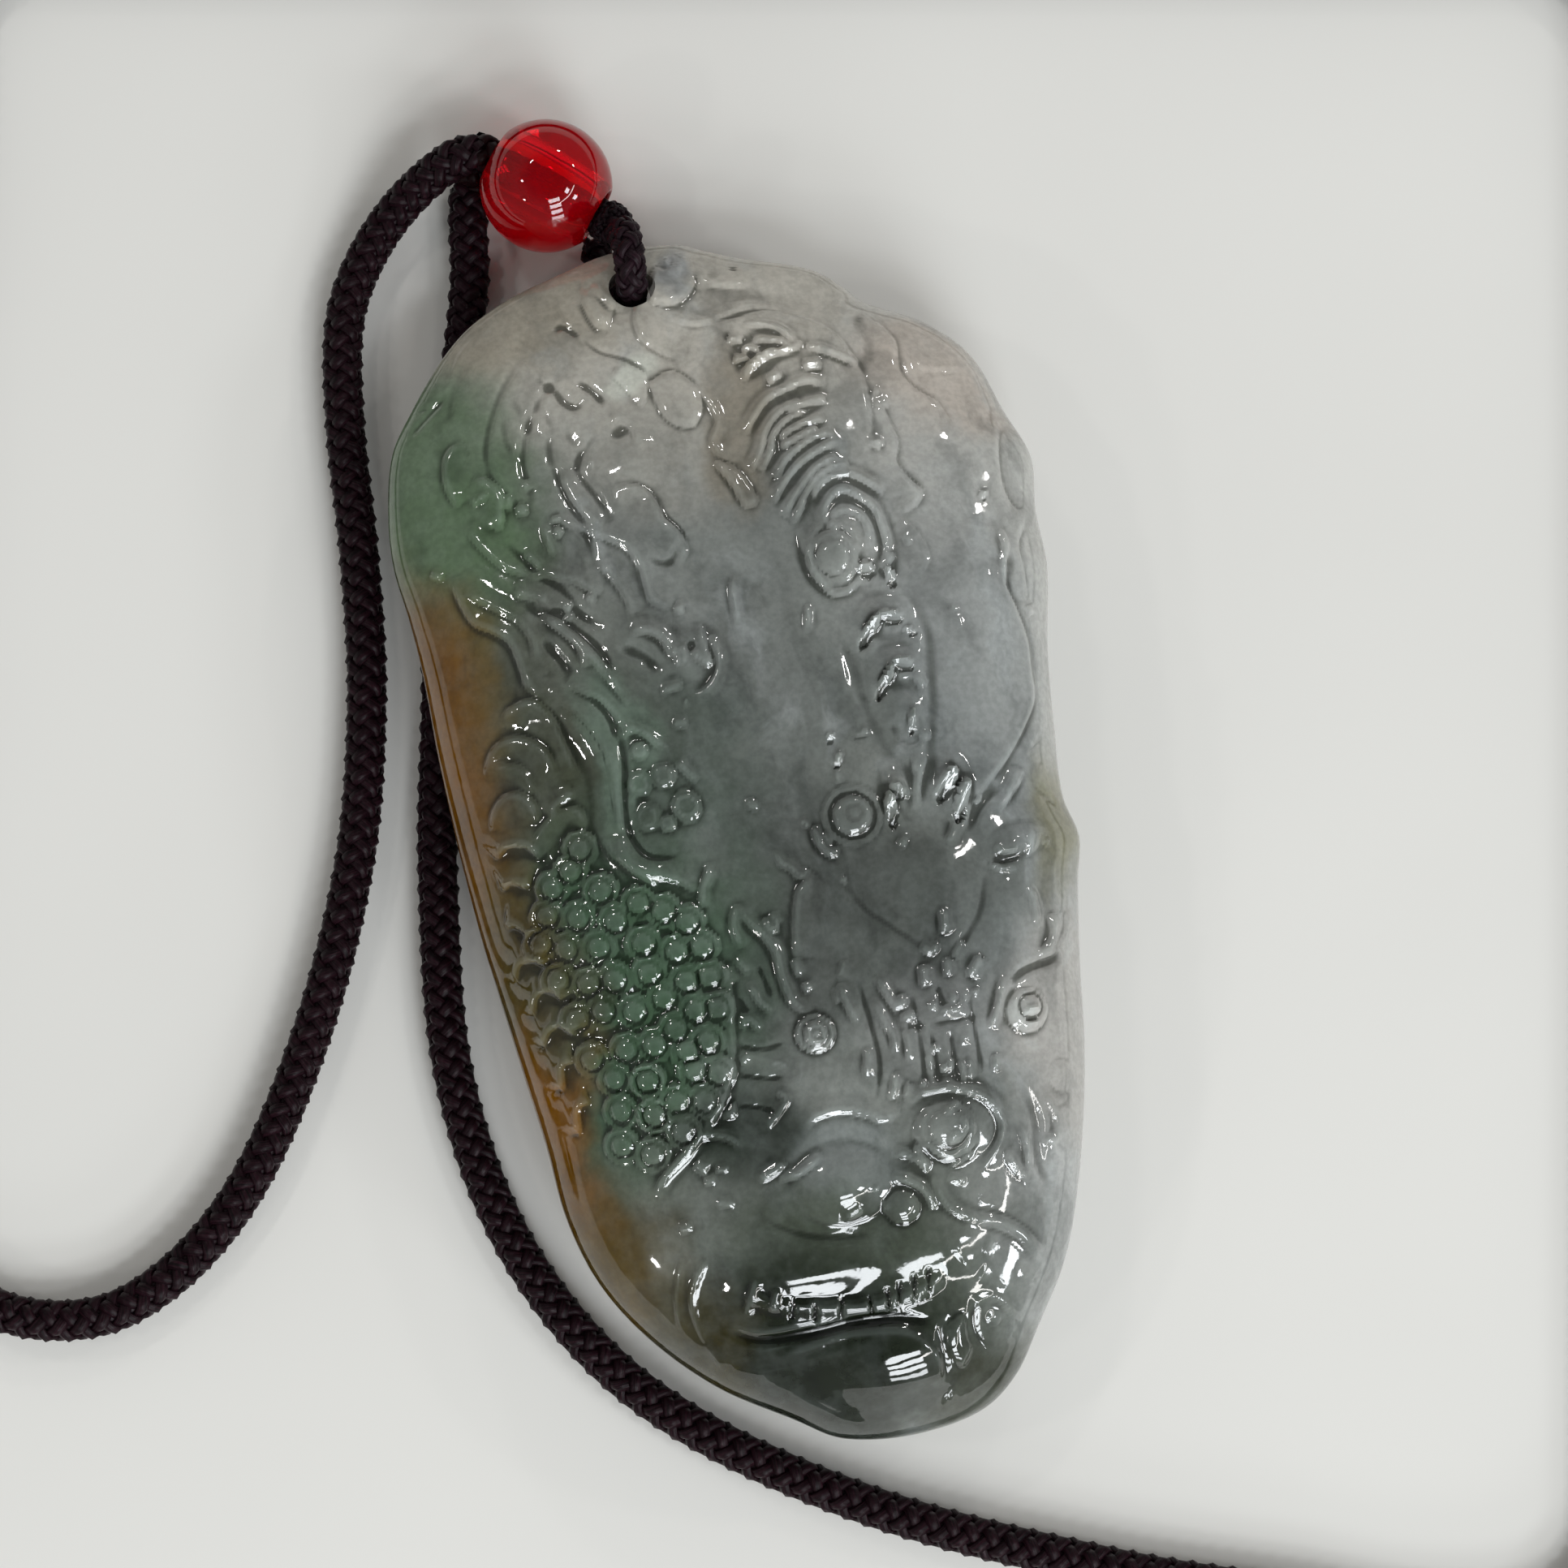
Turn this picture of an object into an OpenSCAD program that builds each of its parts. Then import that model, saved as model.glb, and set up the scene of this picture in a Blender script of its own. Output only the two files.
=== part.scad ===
// Carved jade dragon pendant, lying on its back, with its hanger loop, red bead and braided neck cord.
// Millimetres. +Z points out of the carved face, +Y to the hanging hole, +X to the right of the face.

/* [Jade stone] */
// Length from the snout to the hanging end
jade_l = 66; // [58:0.5:76]
// Width across the widest place
jade_w = 35.2; // [30:0.2:42]
// Thickness, back to the crown of the ground before carving
jade_t = 12; // [10:0.2:15]
// Height of the widest line over the back
girdle_h = 5.6; // [5:0.1:6.5]
// How far the round back is ground flat
back_cut = 0.5; // [0.3:0.05:0.8]
// How far the carving stands out, 1 as on the real stone
relief_h = 1; // [0.4:0.05:1.3]

/* [Hanging hole] */
// Diameter of the drilled hole
hole_d = 2.5; // [2.3:0.05:2.8]
// Stone left between the hole and the end
hole_rim = 1.3; // [1.1:0.05:1.6]
// Distance of the hole left of the middle line
hole_side = 2.1; // [1.4:0.1:2.8]

/* [Hanger and knot] */
// Thickness of the hanger's cord
hanger_d = 1.9; // [1.6:0.05:2.1]
// Width of the wrapped knot
knot_w = 2.6; // [2.4:0.05:2.8]
// Length of the wrapped knot
knot_l = 1.5; // [1.3:0.05:1.7]
// How many times the knot is wrapped
knot_turns = 3; // [2:1:4]

/* [Bead] */
// Diameter of the red bead
bead_d = 7.3; // [6.8:0.1:7.6]
// Diameter of its drilled bore
bore_d = 2.8; // [2.5:0.05:3.2]
// Play between the cord and the bore, all round
bore_play = 0.1; // [0.05:0.01:0.2]

/* [Neck cord] */
// Thickness of the braided neck cord
cord_d = 2.4; // [2:0.1:2.6]

/* [Hidden] */

half_l = jade_l / 2;
half_w = jade_w / 2;
// The stone is charted on squares, 66 to its length and 35.2 to its width.
sq_l = jade_l / 66;
sq_w = jade_w / 35.2;

// Outline and thickness of the stone, section by section from the snout to the hanging end.
// turn: degrees, 90 times the place along the stone, which is half_l * sin(turn)
// left, right: the outline's edges as shares of half_w
// girdle: height of the widest line as a share of girdle_h
// crown: height of the face as a share of jade_t
SECTIONS = [
    //turn  left    right  girdle crown
    [-90,  0.06,   0.06,  0.80, 0.92],
    [-80, -0.14,   0.27,  0.84, 0.94],
    [-70, -0.28,   0.40,  0.88, 0.96],
    [-60, -0.49,   0.50,  0.92, 0.98],
    [-50, -0.67,   0.62,  0.96, 0.99],
    [-42, -0.78,   0.69,  1.00, 1.00],
    [-34, -0.84,   0.75,  1.00, 1.00],
    [-26, -0.86,   0.80,  1.00, 1.00],
    [-18, -0.89,   0.835, 1.00, 1.00],
    [-10, -0.92,   0.88,  1.00, 0.99],
    [ -6, -0.935,  0.91,  1.00, 0.985],
    [ -2, -0.945,  0.885, 1.00, 0.98],
    [  4, -0.957,  0.90,  1.00, 0.97],
    [ 12, -0.966,  0.93,  1.00, 0.95],
    [ 20, -0.966,  0.98,  1.00, 0.92],
    [ 26, -0.977,  0.98,  1.00, 0.89],
    [ 32, -0.995,  1.00,  0.98, 0.85],
    [ 38, -0.983,  0.946, 0.96, 0.81],
    [ 46, -0.935,  0.88,  0.93, 0.76],
    [ 52, -0.85,   0.76,  0.90, 0.72],
    [ 57, -0.775,  0.59,  0.88, 0.69],
    [ 60, -0.73,   0.545, 0.86, 0.67],
    [ 66, -0.625,  0.44,  0.84, 0.64],
    [ 72, -0.48,   0.24,  0.82, 0.62],
    [ 78, -0.31,   0.12,  0.80, 0.60],
    [ 84, -0.20,   0.05,  0.78, 0.59],
    [ 90, -0.09,  -0.09,  0.78, 0.58]
];
LEFT = 1;
RIGHT = 2;
GIRDLE = 3;
CROWN = 4;
function column(k) = [for (row = SECTIONS) [row[0], row[k]]];
LEFT_AT = column(LEFT);
RIGHT_AT = column(RIGHT);
GIRDLE_AT = column(GIRDLE);
CROWN_AT = column(CROWN);

// Raised rounds of the dragon, in squares of the chart, with their height in millimetres.
ROUNDS = [
    // x,     y,    half across, half along, height
    [ 6.9,  -4.6,  3.6, 3.2, 0.50], // plate between the brows
    [ 1.3,  -5.6,  2.4, 2.8, 0.30], // left jowl
    [11.2,  -6.8,  2.0, 2.8, 0.35], // right jowl
    [ 4.0,  -0.4,  1.5, 1.5, 0.55], // left eye
    [ 6.3,   0.6,  0.9, 1.8, 0.45], // left leaf of the crest
    [ 9.4,   0.2,  1.1, 2.0, 0.45], // right leaf of the crest
    [12.3,  -3.4,  1.8, 1.0, 0.35], // right eye
    [ 6.5, -12.2,  2.8, 3.0, 0.35], // bars under the plate
    [-0.2, -11.2,  1.1, 1.1, 0.50], // left pearl
    [10.9, -12.3,  1.3, 1.3, 0.50], // right pearl
    [ 5.8, -17.3,  3.0, 2.3, 0.65], // lower eye
    [-0.4, -19.6,  3.2, 2.3, 0.75], // round cheek
    [ 2.6, -20.9,  1.0, 1.0, 0.40], // curl beside the cheek
    [-3.5, -23.6,  5.5, 2.0, 0.40], // upper lip, left
    [ 4.6, -23.8,  3.4, 2.0, 0.40], // upper lip, right
    [ 0.9, -29.2,  5.0, 2.9, 0.65], // lower lip
    [ 5.9, -27.4,  1.3, 1.3, 0.45], // nostril
    [-9.6,  -5.0,  4.2, 5.6, 0.45], // scaled body, upper
    [-8.6, -12.6,  3.6, 5.0, 0.45], // scaled body, lower
    [-6.0,   3.6,  2.1, 3.4, 0.35], // drop inside the bent leg
    [-12.0,  3.4,  2.6, 2.8, 0.30], // mane beside the leg
    [-2.8,   9.3,  1.9, 1.7, 0.45], // claw
    [ 1.4,   6.6,  4.6, 7.0, 0.35], // smooth wing, left of the tail
    [12.2,   8.0,  3.4, 8.0, 0.40], // smooth wing, right of the tail
    [ 6.0,  13.7,  2.6, 2.8, 0.60], // shell at the tail's root
    [ 6.4,  19.2,  3.0, 3.4, 0.40], // ribbed tail, lower
    [ 5.8,  24.2,  3.6, 2.6, 0.35], // ribbed tail, upper
    [ 7.5,   9.6,  1.8, 1.3, 0.45], // first joint of the spine
    [ 7.6,   6.9,  1.6, 1.2, 0.45], // second joint of the spine
    [ 7.6,   4.4,  1.3, 1.3, 0.35], // third joint of the spine
    [-3.9,  15.9,  2.6, 2.3, 0.40], // cloud, lower
    [-4.0,  20.2,  2.0, 2.0, 0.35], // cloud, middle
    [-1.0,  23.4,  1.6, 2.0, 0.35], // cloud, upper
    [-11.6, 20.0,  2.2, 2.6, 0.35], // curl of the left mane
    [-1.4,  28.4,  2.4, 2.4, 0.30], // swell under the hole
    [13.4,  17.5,  3.0, 4.5, 0.30]  // swell of the right shoulder
];

// Raised and sunk strokes of the dragon, in squares of the chart: the route, the half width and the height.
STROKES = [
    [[[-12.6, 8.2], [-10.4, 8.4], [-8.8, 6.2], [-8.2, 3.2], [-8.2, 0.6], [-7.0, -1.6], [-4.6, -2.2]], 0.9, 0.45],
    [[[-15.0, 16.0], [-13.6, 12.8], [-11.2, 11.0], [-9.2, 8.6]], 0.9, 0.35],
    [[[-11.6, 14.6], [-9.4, 11.8], [-7.4, 8.6], [-6.4, 6.6]], 0.9, 0.35],
    [[[-10.0, 15.2], [-7.2, 13.8], [-5.2, 11.6], [-4.0, 8.0]], 0.9, 0.35],
    [[[-14.8, 5.0], [-13.4, 6.6], [-11.6, 6.2]], 0.8, 0.30],
    [[[-14.9, 2.2], [-13.8, 3.8], [-12.4, 3.2]], 0.8, 0.30],
    [[[-4.8, -7.6], [-4.4, -11.0], [-5.2, -13.6], [-7.4, -16.0], [-10.0, -18.0]], 0.7, 0.35],
    [[[-3.0, -4.0], [-2.0, -5.4], [-1.3, -7.2], [-1.1, -9.0], [-0.2, -9.8]], 0.7, 0.40],
    [[[5.2, -21.4], [6.4, -22.5], [8.1, -23.2], [9.1, -25.0]], 0.7, 0.40],
    [[[15.0, 14.0], [14.4, 10.0], [14.2, 6.0], [12.8, 2.0], [10.6, -0.8]], 0.9, 0.35],
    [[[13.4, -1.4], [14.6, -3.4], [14.0, -6.0]], 0.9, 0.30],
    [[[1.2, 31.2], [1.0, 28.4], [3.2, 27.4], [6.4, 27.4], [9.4, 25.2]], 0.9, 0.35],
    [[[0.6, 24.2], [1.2, 20.6], [2.4, 18.0]], 0.9, 0.35],
    [[[-8.5, -22.8], [-5.6, -25.0], [-2.0, -25.9], [1.6, -25.6], [4.4, -24.6]], 0.7, -0.50],
    [[[-9.0, -20.4], [-10.4, -22.8], [-9.8, -25.6], [-7.6, -28.0]], 0.8, 0.35],
    [[[-13.9, -2.6], [-13.9, -4.6]], 0.9, 0.30],
    [[[-13.8, -5.8], [-13.7, -7.4]], 0.9, 0.30],
    [[[-13.6, -8.6], [-13.2, -10.4]], 0.9, 0.30]
];

// The neck cord's route, from the bead out along the left strand, round and back along the right strand.
CORD_ROUTE = [
    [-8.5, 39.95, 3.65], [-10.1, 39.95, 3.4], [-13.2, 38.4, 1.9], [-15.8, 35.8, 1.2], [-17.6, 32.4, 1.2],
    [-18.6, 26.5, 1.2], [-19.1, 19.5, 1.2], [-20.1, 11.5, 1.2], [-22.4, 2.6, 1.2], [-26.8, -7, 1.2],
    [-32.2, -14.6, 1.2], [-38.5, -18.5, 1.2], [-44.1, -17.9, 1.2], [-47.9, -14.2, 1.2], [-49, -8, 1.2],
    [-36.9, 47.5, 1.2], [-35.6, 53.2, 1.2], [-31.8, 56, 1.2], [-26, 55.3, 1.2], [47, 43, 1.2],
    [52.8, 41.8, 1.2], [55.9, 37.6, 1.2], [55.2, 32, 1.2], [39, -40.6, 1.2], [37.3, -46.3, 1.2],
    [33, -48.9, 1.2], [27, -48, 1.2], [21, -45.6, 1.2], [11, -42, 1.2], [-2, -35.9, 1.2],
    [-12, -28.4, 1.2], [-17.2, -20, 1.2], [-19.1, -10, 1.2], [-18, 1.5, 1.2], [-15.9, 12, 1.2],
    [-14.3, 21.6, 1.2], [-11.9, 28.4, 1.2], [-10.4, 33.6, 1.2], [-9.9, 36.8, 1.2], [-9.5, 38.8, 1.2]
];
// Sides and rings of the cord's tube
cord_sides = 8;
cord_rings = 120;

// Places that follow the stone
hole_x = -hole_side;
hole_y = half_l - hole_rim - hole_d / 2;
end_z = girdle_h * 0.78;

// The stone's ground, before it is carved.
// The round of the back and of the face: how full they are
back_full = 2.2;
face_full = 3;
function turn_of(v) = asin(max(-1, min(1, v)));
function edge_l(v) = lookup(turn_of(v), LEFT_AT) * half_w;
function edge_r(v) = lookup(turn_of(v), RIGHT_AT) * half_w;
function girdle(v) = lookup(turn_of(v), GIRDLE_AT) * girdle_h;
function crown(v) = lookup(turn_of(v), CROWN_AT) * jade_t;
// How far out a place is, from 0 on the middle to 1 on the outline
function outness(u, v, full) = pow(pow(abs(v), full) + pow(abs(u), full) * (1 - pow(abs(v), full)), 1 / full);
function face_z(u, v) =
    girdle(v) + (crown(v) - girdle(v)) * sqrt(max(0, 1 - pow(outness(u, v, face_full), face_full)));
function back_z(u, v) =
    (girdle(v) + back_cut) * (1 - sqrt(max(0, 1 - pow(outness(u, v, back_full), back_full)))) - back_cut;

// The carving: each round and stroke swells smoothly to its height.
function swell(q) = q < 1 ? (1 - q * q) * (1 - q * q) : 0;
function round_at(x, y, r) = r[4] * swell(norm([(x - r[0]) / r[2], (y - r[1]) / r[3]]));
function to_line(p, a, b) =
    let (ab = b - a, t = max(0, min(1, (p - a) * ab / (ab * ab)))) norm(p - a - t * ab);
function stroke_at(p, s) =
    let (d = min([for (i = [1 : len(s[0]) - 1]) to_line(p, s[0][i - 1], s[0][i])])) s[2] * swell(d / s[1]);
function relief(x, y) =
    let (
        rounds = [for (r = ROUNDS) round_at(x, y, r)],
        strokes = [for (s = STROKES) stroke_at([x, y], s)]
    )
    relief_h * (max(rounds) + max(strokes) + min(strokes));

// The carving fades out at the outline over this share of the half width
fade_share = 0.07;
rows = 78;
face_cols = 44;
back_cols = 14;
function row_v(i) = let (s = 2 * i / rows - 1) (s + sin(90 * s)) / 2;
function col_u(t) = 0.55 * t + 0.45 * sin(90 * t);
function at_x(u, v) = (edge_l(v) + edge_r(v)) / 2 + u * (edge_r(v) - edge_l(v)) / 2;
function face_point(u, v) =
    let (x = at_x(u, v), y = v * half_l, fade = min(1, (1 - outness(u, v, face_full)) / fade_share))
    [x, y, face_z(u, v) + fade * relief(x / sq_w, y / sq_l)];
function back_point(u, v) = [at_x(u, v), v * half_l, back_z(u, v)];
function section_ring(v) = concat(
    [for (j = [0 : face_cols - 1]) face_point(col_u(2 * j / face_cols - 1), v)],
    [for (j = [0 : back_cols - 1]) back_point(col_u(1 - 2 * j / back_cols), v)]
);

// A closed solid through rings of points, with a single point at each end.
module lofted(rings, first, last) {
    n = len(rings[0]);
    m = len(rings);
    points = concat([for (ring = rings) each ring], [first, last]);
    polyhedron(points, concat(
        [for (i = [0 : m - 2], j = [0 : n - 1]) each [
            [i * n + j, i * n + (j + 1) % n, (i + 1) * n + (j + 1) % n],
            [i * n + j, (i + 1) * n + (j + 1) % n, (i + 1) * n + j]
        ]],
        [for (j = [0 : n - 1]) [m * n, (j + 1) % n, j]],
        [for (j = [0 : n - 1]) [m * n + 1, (m - 1) * n + j, (m - 1) * n + (j + 1) % n]]
    ), convexity = 6);
}

module jade_body() {
    rings = [for (i = [1 : rows - 1]) section_ring(row_v(i))];
    color("#7d8a84")
    difference() {
        lofted(rings, [at_x(0, -1), -half_l, girdle(-1)], [at_x(0, 1), half_l, girdle(1)]);
        translate([-jade_w, -jade_l, -jade_t]) cube([2 * jade_w, 2 * jade_l, jade_t]);
        translate([hole_x, hole_y, -1]) cylinder(h = jade_t + 2, d = hole_d, $fn = 48);
    }
}

// A smooth route through chosen points: its direction at each point follows the points before and after.
function slope_at(p, i) =
    let (a = p[max(i - 1, 0)], b = p[i], c = p[min(i + 1, len(p) - 1)]) (c - a) / (norm(c - b) + norm(b - a));
function curve_at(p, i, t) =
    let (b = p[i], c = p[i + 1], way = norm(c - b), m0 = slope_at(p, i) * way, m1 = slope_at(p, i + 1) * way)
    b * (2 * t * t * t - 3 * t * t + 1) + m0 * (t * t * t - 2 * t * t + t)
    + c * (3 * t * t - 2 * t * t * t) + m1 * (t * t * t - t * t);
function smooth_route(p, steps) = [
    for (i = [0 : len(p) - 2], k = [0 : steps - 1]) curve_at(p, i, k / steps),
    p[len(p) - 1]
];
// Lengths along a route, and the points that share it into equal steps
function run_of(p, i = 0, sum = 0) =
    i == len(p) - 1 ? [sum] : concat([sum], run_of(p, i + 1, sum + norm(p[i + 1] - p[i])));
function even_route(p, count) =
    let (
        run = run_of(p), total = run[len(run) - 1],
        keys = [for (k = [0 : 2]) [for (i = [0 : len(p) - 1]) [run[i], p[i][k]]]]
    )
    [for (j = [0 : count - 1]) [for (k = [0 : 2]) lookup(total * j / (count - 1), keys[k])]];
function unit(v) = v / norm(v);
function heading(p, i, start) =
    i == 0 && !is_undef(start) ? start : unit(p[min(i + 1, len(p) - 1)] - p[max(i - 1, 0)]);
// A tube's rings stand square to its route and keep the side that was turned last.
function tube_sides(p, start, side, i = 0) =
    let (h = heading(p, i, start), s = unit(side - h * (side * h)))
    i == len(p) - 1 ? [s] : concat([s], tube_sides(p, start, s, i + 1));
module tube(p, d, sides, side = [0, 0, 1], start = undef) {
    turned = tube_sides(p, start, side);
    lofted(
        [for (i = [0 : len(p) - 1]) let (h = heading(p, i, start), s = turned[i], w = cross(h, s))
            [for (j = [0 : sides - 1]) p[i] + d / 2 * (cos(360 * j / sides) * s + sin(360 * j / sides) * w)]],
        p[0], p[len(p) - 1]
    );
}

// The bead lies on the surface, above and left of the hole.
bead_at = [hole_x - 3.35, half_l + 4.5, bead_d / 2];
// The bore runs up and to the left.
bore_turn = 140;
bore_way = [cos(bore_turn), sin(bore_turn), 0];
mouth_off = sqrt(bead_d * bead_d - bore_d * bore_d) / 2;
core_d = bore_d - 2 * bore_play;
// How far the pressed strands stand out of the lower and the upper mouth
core_low = 0.35;
core_high = 0.5;
// The knot sits against the lower end of the pressed strands, turns towards the hole and leans up.
knot_turn = -70;
knot_lean = 45;
knot_gap = 0.05;
knot_way = [cos(knot_turn) * cos(knot_lean), sin(knot_turn) * cos(knot_lean), sin(knot_lean)];
knot_seat = mouth_off + core_low + knot_gap;
knot_foot = bead_at - bore_way * knot_seat;
knot_head = knot_foot + knot_way * knot_l;

// The hanger runs from the knot over the rim, down the hole, back under the rim to the knot's underside.
HANGER_ROUTE = [
    knot_head + knot_way * 0.05,
    knot_head + knot_way * 0.55,
    [hole_x + 0.15, half_l + 0.55, end_z + 1.75],
    [hole_x + 0.15, half_l - 0.1, end_z + 2.5],
    [hole_x + 0.1, hole_y + hole_d / 2 + 0.4, end_z + 3],
    [hole_x, hole_y + 0.55, end_z + 2.9],
    [hole_x, hole_y + 0.05, end_z + 1.9],
    [hole_x, hole_y, end_z - 0.3],
    [hole_x, hole_y, hanger_d + 0.55],
    [hole_x - 0.1, hole_y + 0.3, hanger_d / 2 + 0.75],
    [hole_x - 0.45, hole_y + 1.1, hanger_d / 2 + 0.1],
    [hole_x - 0.95, half_l - 0.2, hanger_d / 2],
    [hole_x - 1.1, half_l + 0.8, hanger_d / 2],
    [hole_x - 0.9, half_l + 1.6, hanger_d / 2 + 0.1]
];
hanger_rings = 36;

module hanger_loop() {
    color("#241a1c")
    tube(even_route(smooth_route(HANGER_ROUTE, 6), hanger_rings), hanger_d, 10, [1, 0, 0], knot_way);
}

// Turns what stands along Z to lie along the bore
module along_bore() { rotate([0, 0, bore_turn]) rotate([0, 90, 0]) children(); }

// Wraps of the knot, side by side along its own line, cut square where they meet the pressed strands
module wrap_knot() {
    pitch = knot_l / knot_turns;
    wrap_r = pitch * 0.6;
    color("#241a1c")
    difference() {
        translate(knot_foot) rotate([0, 0, knot_turn]) rotate([0, 90 - knot_lean, 0]) intersection() {
            union() {
                for (k = [-2 : knot_turns - 1]) translate([0, 0, (k + 0.5) * pitch])
                    rotate_extrude($fn = 48) translate([knot_w / 2 - wrap_r, 0]) circle(r = wrap_r, $fn = 24);
                translate([0, 0, -knot_l]) cylinder(h = 2 * knot_l, d = knot_w - wrap_r, $fn = 48);
            }
            translate([0, 0, -knot_l]) cylinder(h = 2 * knot_l, d = knot_w + 1, $fn = 48);
        }
        translate(bead_at) along_bore() translate([0, 0, -knot_seat]) cylinder(h = bead_d, d = bead_d);
    }
}

module red_bead() {
    color("#b0101c")
    difference() {
        translate(bead_at) sphere(d = bead_d, $fn = 64);
        translate(bead_at) along_bore() cylinder(h = 2 * bead_d, d = bore_d, center = true, $fn = 48);
    }
}

// Both strands pressed together in the bore
module bead_core() {
    foot = -mouth_off - core_low;
    color("#2b0d10")
    translate(bead_at) along_bore() translate([0, 0, foot]) cylinder(h = mouth_off + core_high - foot, d = core_d, $fn = 48);
}

module neck_cord() {
    color("#1f1718")
    tube(even_route(smooth_route(CORD_ROUTE, 6), cord_rings), cord_d, cord_sides, start = bore_way);
}

jade_body();
hanger_loop();
wrap_knot();
red_bead();
bead_core();
neck_cord();
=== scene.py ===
# %% [markdown]
# # A carved jade pendant on a braided cord
#
# The real object is one jade stone, 66 mm long, carved in relief with a dragon and polished all over. It
# hangs from a short braided loop, which is closed by a wrapped knot under a red glass bead. The neck cord is
# braided too, and its two ends meet in the bead.
#
# This lesson loads the exact solids first, because they fix every size and place, and then dresses each of
# them.

# %% The frame, units and a few helpers
import math

import bpy
import numpy as np
from mathutils import Matrix, Vector


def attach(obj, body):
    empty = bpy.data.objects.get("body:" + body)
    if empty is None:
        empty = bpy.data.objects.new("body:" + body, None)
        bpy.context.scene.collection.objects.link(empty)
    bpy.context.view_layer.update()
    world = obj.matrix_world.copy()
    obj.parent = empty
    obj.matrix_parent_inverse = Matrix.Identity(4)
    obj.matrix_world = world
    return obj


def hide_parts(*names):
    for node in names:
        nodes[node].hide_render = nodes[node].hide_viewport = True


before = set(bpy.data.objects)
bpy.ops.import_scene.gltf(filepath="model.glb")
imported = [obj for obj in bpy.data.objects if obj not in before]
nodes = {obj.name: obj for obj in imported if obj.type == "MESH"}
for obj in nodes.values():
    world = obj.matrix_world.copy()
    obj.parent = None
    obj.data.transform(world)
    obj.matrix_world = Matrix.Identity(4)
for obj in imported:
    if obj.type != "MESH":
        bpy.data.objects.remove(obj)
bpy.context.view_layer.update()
MM = 0.001
print("solids:", ", ".join(sorted(nodes)))


def activate(piece):
    """Selects one piece and nothing else, and makes it the active one."""
    bpy.ops.object.select_all(action="DESELECT")
    piece.select_set(True)
    bpy.context.view_layer.objects.active = piece


def join(piece, other):
    """Joins another piece into this one, which keeps its name."""
    activate(other)
    piece.select_set(True)
    bpy.context.view_layer.objects.active = piece
    bpy.ops.object.join()


def add_to_scene(name, data):
    """Puts a new object with a mesh, a light or a camera into the scene."""
    thing = bpy.data.objects.new(name, data)
    bpy.context.scene.collection.objects.link(thing)
    return thing


def triangles(piece):
    return sum(len(polygon.vertices) - 2 for polygon in piece.data.polygons)


# %% [markdown]
# ## The camera
#
# The photograph looks down on the carved face from about a quarter of a metre away, a little from the
# snout's side and a little from the left, and the stone leans to the left in it. A camera has no "lean" of
# its own, so its three axes are worked out here: back, from the stone to the camera, then up and right,
# both turned by the roll. The lens is the one that shows the stone at the photograph's scale from that
# distance.

# %% The camera
LOOK_AT = Vector((0.7, 1.9, 8.0)) * MM
CAMERA_DISTANCE = 260 * MM
CAMERA_ELEVATION = math.radians(80)
CAMERA_AZIMUTH = math.radians(-35)
CAMERA_ROLL = math.radians(11)
SENSOR_WIDTH = 36
PHOTO_SIDE = 1932
PHOTO_PIXELS_PER_MM = 23.2

back = Vector((
    math.sin(CAMERA_AZIMUTH) * math.cos(CAMERA_ELEVATION),
    -math.cos(CAMERA_AZIMUTH) * math.cos(CAMERA_ELEVATION),
    math.sin(CAMERA_ELEVATION),
))
level_up = (Vector((0, 1, 0)) - back * back.y).normalized()
level_right = level_up.cross(back)
up = level_up * math.cos(CAMERA_ROLL) + level_right * math.sin(CAMERA_ROLL)
right = level_right * math.cos(CAMERA_ROLL) - level_up * math.sin(CAMERA_ROLL)

camera_data = bpy.data.cameras.new("camera")
camera_data.sensor_width = SENSOR_WIDTH
camera_data.lens = SENSOR_WIDTH * PHOTO_PIXELS_PER_MM * CAMERA_DISTANCE / MM / PHOTO_SIDE
camera = add_to_scene("camera", camera_data)
camera_axes = Matrix((right, up, back)).transposed().to_4x4()
camera.matrix_world = Matrix.Translation(LOOK_AT + back * CAMERA_DISTANCE) @ camera_axes
bpy.context.scene.camera = camera
print(f"camera lens {camera_data.lens:.1f} mm")

# %% [markdown]
# ## The neck cord
#
# The real cord is a round braid of eight dark nylon strands, about 2.4 mm thick. A plain tube with a bump
# map would show a smooth outline, so the strands are made one by one: each runs round the cord like a
# thread on a screw, half of them to the left and half to the right, and each rises and sinks in step as it
# passes over one strand and under the next. Mesh code suits this better than modelling by hand, because the
# same rule makes every strand.
#
# The cord is a whole loop of a necklace's real length. It leaves the bead, lies down beside the stone, goes
# round outside the camera's view and comes back to the bead.

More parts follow.
